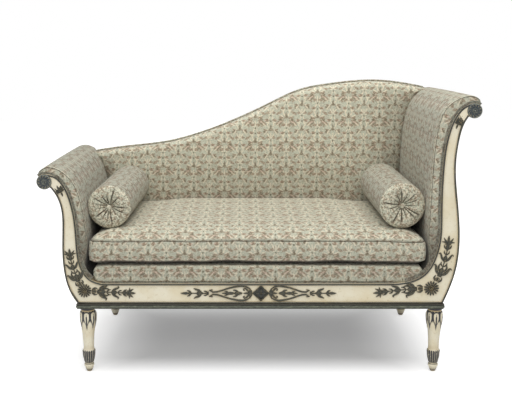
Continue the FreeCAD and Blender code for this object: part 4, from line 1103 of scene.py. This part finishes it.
def carve(path, widths, lift, crease=0.3, samples=12, raw=False, tone=1.0):
    """Strip with a groove down its middle; widths are half widths in mm from its start to its end."""
    path = np.array(path, float)
    line = path if raw else spline(path, samples)
    count = len(line)
    half = np.interp(np.linspace(0, 1, count), np.linspace(0, 1, len(widths)), widths) * MM
    out = left_of(line)
    turn = np.linspace(0, math.pi, 8)
    height = np.sin(turn) ** 0.75 * (1 - crease * np.exp(-((turn - math.pi / 2) / 0.32) ** 2))
    rise = lift * MM * np.minimum(1, 0.45 + half / np.max(half))
    rows = []
    for place, aside, wide, up in zip(line, out, half, rise):
        spot = place + np.cos(turn)[:, None] * wide * aside
        y = panel - up * height
        ring = [(x, depth, z) for (x, z), depth in zip(spot, y)]
        ring.append((place[0], panel + 0.6 * MM, place[1]))
        rows.append(ring + ring[:1])
    piece = skin("carve", np.array(rows))
    values = np.append(height, 0.0) * tone
    return mark(piece, "relief", np.repeat(values[None], count, axis=0))


def knob(place, radius, lift):
    """Round boss on the panel."""
    turn = np.linspace(0, 2 * math.pi, 17)
    rows = []
    heights = []
    for rise in math.pi / 2 * np.arange(6) / 5:
        size = radius * MM * math.cos(rise) + 0.1 * MM
        depth = panel + 0.6 * MM - (lift + 0.6) * MM * math.sin(rise)
        rows.append(points_of(place[0] + size * np.cos(turn), depth, place[1] + size * np.sin(turn)))
        heights.append(np.full(16, math.sin(rise)))
    return mark(skin("knob", np.array(rows)), "relief", np.array(heights))


def loop(place, wide, tall, half, lift, samples=28):
    """Raised oval ring."""
    turn = np.linspace(0, 2 * math.pi, samples)
    path = np.stack([place[0] + wide * MM * np.cos(turn), place[1] + tall * MM * np.sin(turn)], axis=1)
    return carve(path, [half, half], lift, crease=0.0, raw=True)


# Strokes are carved this much wider than their tables say
boldness = 1.18
carving_level = 309 * MM


class Run:
    """Line on the panel that carving follows; at() takes lengths along it and distances aside, in mm."""

    def __init__(self, knots, length=None, spread=1.0):
        self.spread = spread
        self.line = spline(knots, 200)
        self.far = lengths_along(self.line)
        self.out = left_of(self.line)
        self.scale = 1.0 if length is None else self.far[-1] / MM / length

    def at(self, points):
        points = np.array(points, float) * MM * (1, self.spread)
        along = points[:, 0] * self.scale
        place = [np.interp(along, self.far, self.line[:, k]) for k in (0, 1)]
        aside = [np.interp(along, self.far, self.out[:, k]) for k in (0, 1)]
        return np.stack([place[k] + points[:, 1] * aside[k] for k in (0, 1)], axis=1)

    def strokes(self, single, paired):
        """Carvings on the line, and carvings in pairs, one to each side of it."""
        mirrored = [([(along, -aside) for along, aside in path], *rest) for path, *rest in paired]
        strokes = single + [stroke for pair in zip(paired, mirrored) for stroke in pair]
        return [carve(self.at(path), np.array(widths) * boldness, lift) for path, widths, lift in strokes]


# Strokes in mm along and aside: points, half widths, lift
chain_length = 165
bar_length = 284
chain_single = [
    ([(25, 0), (31, 0), (37, 0)], [1, 3.4, 1], 3),
    ([(42, -6), (42, 0), (42, 6)], [1.2, 2, 1.2], 4),
    ([(43, 0), (54, 0), (67, 0)], [3, 4, 6, 8, 3], 5),
    ([(64, 0), (76, 0), (90, 0)], [1.6, 1.4], 2.5),
    ([(86, 0), (95, 0), (105, 0)], [2, 3.5, 5, 6.5, 2], 4.5),
    ([(102, 0), (112, 0), (124, 0)], [1.4, 1.2], 2.5),
    ([(120, 0), (130, 0), (138, 0)], [2, 3, 4.5, 5.5, 4.5], 4),
    ([(140, -8), (139, 0), (140, 8)], [1, 2, 1], 4.5),
    ([(141, 0), (152, 0), (165, 0)], [1.5, 4, 3.4, 0.5], 3.5)]
chain_paired = [
    ([(24, 5), (32, 10), (41, 9)], [1, 2.8, 0.8], 3.5),
    ([(72, 1), (78, 7), (85, 8)], [1, 2.4, 0.7], 3),
    ([(108, 1), (114, 6), (120, 7)], [1, 2.2, 0.6], 3),
    ([(46, 3), (54, 12), (64, 17), (72, 21), (69, 26)], [2, 4.6, 4.2, 2.8, 1], 4.5),
    ([(58, 6), (68, 11), (79, 9)], [2, 3, 0.8], 3.5),
    ([(88, 2), (96, 9), (105, 13), (111, 17), (107, 20)], [1.5, 3.6, 3.2, 2, 0.8], 4),
    ([(124, 2), (131, 8), (137, 10)], [1, 2.6, 0.8], 3.5),
    ([(141, 1), (150, 8), (158, 13)], [1, 3.2, 0.5], 3),
    ([(141, 1), (145, 9), (146, 17)], [1, 2.6, 0.5], 3)]
centre_single = [
    ([(66, 0), (78, 0), (93, 0)], [2, 4, 6, 7, 3], 4.5),
    ([(93, 0), (112, 0), (138, 0)], [2, 5, 4.4, 2.4, 0.5], 4),
    ([(187, -6.5), (186, 0), (187, 6.5)], [1.2, 2, 1.2], 4),
    ([(187, 0), (196, 0), (206, 0)], [2, 1.6], 3),
    ([(204, 0), (214, 0), (227, 0)], [2, 4, 7, 8.5, 3], 5),
    ([(226, 0), (234, 0), (246, 0)], [1.6, 1.4], 2.5),
    ([(242, 0), (250, 0), (257, 0)], [1.5, 3, 5, 2], 4),
    ([(255, 0), (268, 0), (284, 0)], [1.5, 4.6, 3, 0.4], 3.5)]
centre_paired = [
    ([(112, 1), (120, 6), (129, 7)], [1, 2.2, 0.6], 3),
    ([(188, 2), (194, 7), (202, 8)], [1, 2.4, 0.7], 3),
    ([(44, 8), (52, 16), (60, 17), (62, 12), (57, 11)], [1, 2.4, 2, 1.6, 1], 3.5),
    ([(38, 17), (56, 26), (84, 25.5), (116, 18.5), (146, 8), (164, 4.5), (176, 6.5), (182, 12), (177, 17),
      (171, 13)], [1, 2.7, 2.7, 2.7, 2.4, 2.4, 2.4, 2.2, 2, 1.4], 4.5),
    ([(78, 3), (88, 10), (99, 12)], [1, 3, 0.8], 3.5),
    ([(210, 3), (219, 11), (230, 15), (237, 19)], [1.5, 3.6, 3, 0.8], 4),
    ([(246, 2), (253, 8), (261, 11)], [1, 2.6, 0.6], 3.5)]


def daisy(place, radius, petals=15):
    """Flower on the panel: a knob, a ring and petals."""
    made = [knob(place, 5.5, 5.5)]
    for turn in 2 * math.pi * np.arange(petals) / petals:
        way = np.array((math.cos(turn), math.sin(turn)))
        path = [place + way * share * radius * MM for share in (0.3, 0.65, 1.0)]
        made.append(carve(path, [1.0, 1.8, radius * 0.125, 1.6], 4.8, crease=0.5, samples=8))
    made.append(loop(place, 8.5, 8.5, 1.0, 5.2))
    return made


def corner_carving(arm, centre, radius, level_end, upright):
    """Daisy on the corner with a chain of husks along the rail and another up the post; all in mm."""
    origin = np.array((middle_x, 0))
    centre = np.array(centre) * MM + origin
    end = np.array((level_end * MM + middle_x, carving_level))
    made = daisy(centre, radius)
    halfway = ((centre[0] + end[0]) / 2, centre[1] - 6 * MM)
    level = Run([centre, halfway, end], chain_length, 1.2)
    up = Run([centre, *(np.array(upright) * MM + origin)], chain_length, 1.35)
    for run in (level, up):
        made += run.strokes(chain_single, chain_paired)
        made.append(loop(run.at([(31, 0)])[0], 7.5, 6.5, 1.2, 2.6))
        made += [knob(run.at([(44.5, aside)])[0], 1.6, 3.6) for aside in (-5, 0, 5)]
    piece = join("corner_carving_" + arm.name, made)
    dress(piece, "frame", carving, "carved_ornament", "corner_ornament_" + arm.name)


def centre_carving():
    """Lozenge with a four-petal flower, a fan of leaves to each side and bars that end in curls."""
    centre = np.array((middle_x - 2 * MM, carving_level))
    made = [knob(centre, 4, 5.5)]
    for side, reach in ((-1, 293), (1, 275)):
        end = centre + (side * reach * MM, 0)
        run = Run([centre, centre + (side * reach * MM / 2, 0), end], bar_length)
        made += run.strokes(centre_single, centre_paired)
        for angle, length in ((0, 31), (32, 27), (-32, 27), (62, 21), (-62, 21)):
            way = np.array((math.cos(math.radians(angle)), math.sin(math.radians(angle)))) * length
            path = [(31, 0), (31, 0) + way * 0.55, (31, 0) + way]
            made.append(carve(run.at(path), [1, 3.4, 3.4, 0.6], 4.2, samples=7))
        for up in (-1, 1):
            made.append(carve(run.at([(0, 27 * up), (14, 13.5 * up), (28, 0)]), [2.6, 2.6], 5, samples=8))
        made.append(carve(run.at([(4, 0), (9, 0), (17, 0)]), [1.5, 4.2, 1], 4.5, samples=7))
        field = run.at([(0, 0), (14, 0), (27, 0)])
        made.append(carve(field, [23, 12, 1], 1.6, crease=0.0, samples=9, tone=0.3))
        for up in (-1, 1):
            path = [(7, 16 * up), (13, 9 * up), (19, 2 * up)]
            made.append(carve(run.at(path), [0.8, 1.6, 0.8], 3, samples=7))
    for up in (-1, 1):
        path = [centre + (0, up * rise * MM) for rise in (4, 9, 16)]
        made.append(carve(path, [1.5, 4.2, 1], 4.5, samples=7))
    dress(join("centre_carving", made), "frame", carving, "carved_ornament", "centre_ornament")


def neck_carving(arm):
    """Leaf collar under the scroll: a cross line, a fan of leaves over it and a drop under it."""
    outer = spline(arm.outer, 200)
    inner = spline(arm.inner, 200)
    level = middle("neck_ornament_" + arm.name)[2] + 30 * MM
    spots = []
    for rise in (-34, -18, 0, 16, 30):
        height = level + rise * MM
        out = np.interp(height, outer[:, 1], outer[:, 0])
        into = np.interp(height, inner[:, 1], inner[:, 0])
        spots.append((arm.x((out + into) / 2), height, abs(out - into) / 2 / MM))
    run = Run([(x, z) for x, z, _ in spots])
    # The run starts this far under the cross line
    here = 34
    wide = spots[2][2] - 7
    made = run.strokes(
        [([(here, -wide), (here - 2, 0), (here, wide)], [1.6, 2.2, 1.6], 4),
         ([(here + 2, 0), (here + 12, 0), (here + 25, 0)], [2, 4, 3.4, 0.8], 5),
         ([(here - 4, 0), (here - 12, 0), (here - 20, 0)], [1, 2.8, 2, 0.4], 3.5)],
        [([(here + 2, 3), (here + 11, wide * 0.5), (here + 20, wide * 0.62)], [1.5, 3, 0.8], 4.5),
         ([(here + 1, 6), (here + 5, wide * 0.7), (here + 11, wide * 0.95)], [1.5, 2.4, 0.8], 4)])
    piece = join("neck_carving_" + arm.name, made)
    dress(piece, "frame", carving, "carved_ornament", "neck_ornament_" + arm.name)


def scroll_face(arm):
    """Rosette on the end of a scroll: rim, swirling petals and a button."""
    centre = middle("scroll_rosette_" + arm.name)
    spot = np.array((centre[0], centre[2]))
    size = arm.radius / MM - 0.6
    petals = 12
    rim = size - 2.6
    made = [loop(spot, rim, rim, 2.6, 7.5, 48), loop(spot, 8, 8, 1.4, 7.0), knob(spot, 5, 8.5)]
    for index in range(petals):
        path = []
        for share in np.linspace(0, 1, 6):
            turn = 2 * math.pi * index / petals + 0.75 * share * arm.side
            reach = (9.5 + (size - 15) * share) * MM
            path.append(spot + reach * np.array((math.cos(turn), math.sin(turn))))
        made.append(carve(path, [1.4, 2.4, 3.6, 2.2], 6.4, crease=0.4, samples=9))
    made.append(knob(spot, size - 2, 4.2))
    piece = join("scroll_face_" + arm.name, made)
    dress(piece, "frame", scroll_paint, "dark_carving", "scroll_rosette_" + arm.name)


# Cloth on the rear, sides and underside


def outside_sheet(name, node, points, cloth_map, material, slot_name):
    """Single sheet of cloth stretched over the frame."""
    piece = skin(name, points, cloth_map, closed=False)
    dress(piece, "frame", material, slot_name, node)
    return piece


def edge_of(arm):
    """Line inside the outer edge of the posts, as along and height, from the rail up to the scroll."""
    line = spline(arm.outer, 160)
    line = line + left_of(line) * 34 * MM
    return np.stack([arm.x(line[:, 0]), line[:, 1]], axis=1)


def back_sheet():
    """Cloth over the rear of the back, from the deck to the crest, its edge turned under."""
    low_edge = edge_of(low_arm)
    high_edge = edge_of(high_arm)
    low, high = corner_pair("back_outside_cover")
    across = np.linspace(0, 1, 90)
    rows = []
    for share in np.linspace(0, 1, 40):
        x = np.full(90, middle_x)
        for _ in range(6):
            top = crest_height(x) + 1.2 * MM
            height = low[2] + (top - low[2]) * share
            left = np.interp(height, low_edge[:, 1], low_edge[:, 0])
            right = np.interp(height, high_edge[:, 1], high_edge[:, 0])
            x = left + (right - left) * across
        beside = np.minimum(across, 1 - across) * (right - left)
        edge = np.minimum(beside, min(share, 1 - share) * (top - low[2]))
        bow = 1.6 * MM * smooth_step(edge, 0.0, 0.05)
        rows.append(points_of(x, low[1] + 1.2 * MM + bow, height))
    for into in (0.6, 2.0, 6.0, 14.0, 24.0, 31.0):
        rows.append(rows[39] + (0, -into * MM, min(into, 2.0) * 0.3 * MM))
    points = np.array(rows)
    points[..., 1] += wander(points, 0.12, 41) * 0.4 * MM
    flat = points[..., [0, 2]].copy()
    flat[..., 1] += low[1] - points[..., 1]
    piece = outside_sheet("back_outside_sheet", "back_outside_cover", points, flat,
                          outside_cloth, "figured_fabric")


def arm_sheet(arm):
    """Cloth over the outside of an arm, from the end rail up and round the scroll."""
    low, high = corner_pair("arm_outside_cover_" + arm.name)
    line = spline(arm.outer, 200)
    line = line + left_of(line) * 4 * MM
    line = line[(line[:, 1] > low[2]) & (line[:, 1] < high[2])]
    reach = arm.radius + 0.5 * MM
    turns = np.radians(np.linspace(-128, 45, 16))
    round_scroll = np.stack([arm.reach + reach * np.cos(turns), arm.level + reach * np.sin(turns)], axis=1)
    line = resample(np.concatenate([line, round_scroll]), 80)
    depth = np.linspace(low[1], high[1], 40)
    points = points_of(arm.x(line[:, :1]), depth, line[:, 1:])
    far = lengths_along(line)
    flat = np.stack(np.broadcast_arrays(depth, far[:, None]), axis=-1)
    piece = outside_sheet("arm_outside_sheet_" + arm.name, "arm_outside_cover_" + arm.name, points, flat,
                          outside_cloth, "figured_fabric")


def dust_sheet():
    """Thin black cloth under the seat, which hangs a little in its middle."""
    low, high = corner_pair("dust_cover")
    x = np.linspace(low[0], high[0], 60)
    y = np.linspace(low[1], high[1], 36)[:, None]
    from_ends = 1 - np.abs(2 * (x - middle_x) / (high[0] - low[0]))
    from_sides = 1 - np.abs(2 * y / (high[1] - low[1]))
    sag = 5 * MM * smooth_step(np.minimum(from_ends, from_sides), 0, 0.5)
    points = points_of(x, y, high[2] - 0.6 * MM - sag)
    piece = outside_sheet("dust_sheet", "dust_cover", points, points[..., :2], black_cotton, "dust_cloth")


def deck_cord():
    """Cord between the deck and the top of the rail."""
    low, high = corner_pair("deck_welt")
    path = points_of(np.linspace(low[0], high[0], 80), low[1] + 2.6 * MM, low[2] + 2.3 * MM)
    dress(tube("deck_cord", path, 2.1 * MM), "frame", double_welt_cloth, "welt_cord", "deck_welt")


# Wood that stays as built gets its paint; what is hidden gets its own material


def paint_nodes():
    for name, node in nodes.items():
        if name.startswith(("front_post", "rear_post", "front_rail", "rear_rail", "end_rail", "leg_")):
            material = ivory
        elif name.startswith("base_moulding"):
            material = band_paint
        elif name == "crest_rail":
            material = welt_cloth
        elif "webbing" in name:
            material = jute
        elif name.startswith("arm_hessian"):
            material = sacking
        elif name.startswith("dust_cover"):
            material = black_cotton
        elif name.startswith(("deck_welt", "arm_welt", "back_piping")):
            material = welt_cloth
        elif "ornament" in name or "rosette" in name:
            material = carving
        else:
            material = hardwood
        node.data.materials.clear()
        node.data.materials.append(material)


# Camera, light and floor


def camera():
    """Camera of the photograph, worked out from the four feet and the base moulding."""
    data = bpy.data.cameras.new("camera")
    data.sensor_width = 36
    data.lens = 56.7
    data.shift_x = 0.026
    data.shift_y = -0.08
    eye = bpy.data.objects.new("camera", data)
    eye.location = (-0.0539, -3.173, 1.2204)
    eye.rotation_euler = (math.radians(90 - 8.774), 0, 0)
    bpy.context.scene.collection.objects.link(eye)
    bpy.context.scene.camera = eye
    bpy.context.scene.view_settings.view_transform = "Standard"


def softbox(name, place, aim, size, power):
    data = bpy.data.lights.new(name, "AREA")
    data.shape = "RECTANGLE"
    data.size, data.size_y = size
    data.energy = power
    lamp = bpy.data.objects.new(name, data)
    lamp.location = place
    lamp.rotation_euler = (Vector(aim) - Vector(place)).to_track_quat("-Z", "Y").to_euler()
    bpy.context.scene.collection.objects.link(lamp)


def seen_ray(shade):
    """1 where the camera sees the surface, also through glass or in a reflection, and 0 otherwise."""
    rays = shade.node("LightPath").outputs
    seen = shade.math("MAXIMUM", rays["Is Camera Ray"], rays["Is Transmission Ray"])
    return shade.math("MAXIMUM", seen, rays["Is Glossy Ray"])


def backdrop():
    """White for the camera and for reflections, and a soft grey light for everything else."""
    world = bpy.data.worlds.new("studio")
    bpy.context.scene.world = world
    world.use_nodes = True
    tree = world.node_tree
    shade = Shade("studio", tree)
    background = tree.nodes["Background"]
    colour = shade.mix(seen_ray(shade), (0.26, 0.26, 0.26, 1), (1, 1, 1, 1))
    shade.plug(background.inputs["Color"], colour)
    background.inputs["Strength"].default_value = 1.0


def floor():
    """Floor that keeps the rendered shadow and glows white away from the object, its glow weaker near the
    seat as a painted shadow.
    """
    size = 9.0
    verts = [(-size, -size, 0), (size, -size, 0), (size, size, 0), (-size, size, 0)]
    piece = new_object("floor", verts, [(0, 1, 2, 3)], smooth=False)
    shade = Shade("floor")
    shade.finish((0.80, 0.80, 0.80, 1), 1.0, Specular_IOR_Level=0.0)
    # Distance from a rectangle under the seat, over which the floor's glow grows white; the weaker glow
    # near the seat paints a shadow there
    x, y, _ = shade.parts(shade.place())
    beside = shade.math("SUBTRACT", shade.math("ABSOLUTE", x), 0.36)
    before = shade.math("SUBTRACT", shade.math("ABSOLUTE", shade.math("SUBTRACT", y, 0.05)), 0.15)
    apart = shade.math("MAXIMUM", shade.math("MAXIMUM", beside, before), 0.0)
    white = shade.math("MULTIPLY", seen_ray(shade), shade.ramp(apart, 0.0, 0.62, 0.22, 0.95))
    glow = shade.node("Emission", (1, 1, 1, 1), white)
    both = shade.node("AddShader", shade.shader.outputs[0], glow.outputs[0])
    shade.plug(shade.tree.nodes["Material Output"].inputs["Surface"], both.outputs[0])
    piece.data.materials.append(shade.material)


def lights():
    softbox("overhead", (0.0, -1.0, 3.4), (0, 0, 0.4), (3.6, 2.4), 104)
    softbox("front", (-0.3, -4.2, 2.3), (0, 0, 0.5), (3.0, 2.0), 40)


paint_nodes()
for arm in arms:
    arm_pad(arm)
    arm_welts(arm)
back_cover()
crest_piping()
seat_cushion()
seat_deck()
bead_lines()
base_moulding()
legs()
corner_carving(low_arm, (-644, 319), 25, -459, [(-663, 350), (-676, 384), (-690, 430), (-695, 476)])
corner_carving(high_arm, (618, 328), 27, 406, [(640, 365), (657, 410), (669, 465), (675, 524)])
centre_carving()
for arm in arms:
    neck_carving(arm)
    scroll_face(arm)
back_sheet()
for arm in arms:
    arm_sheet(arm)
dust_sheet()
deck_cord()
bolster(low_arm, 80 * MM, turn=1.4, seed=2.0, sink=7 * MM)
bolster(high_arm, 84 * MM, turn=0.0, seed=5.0, sink=5 * MM)
camera()
backdrop()
floor()
lights()

bpy.context.view_layer.update()
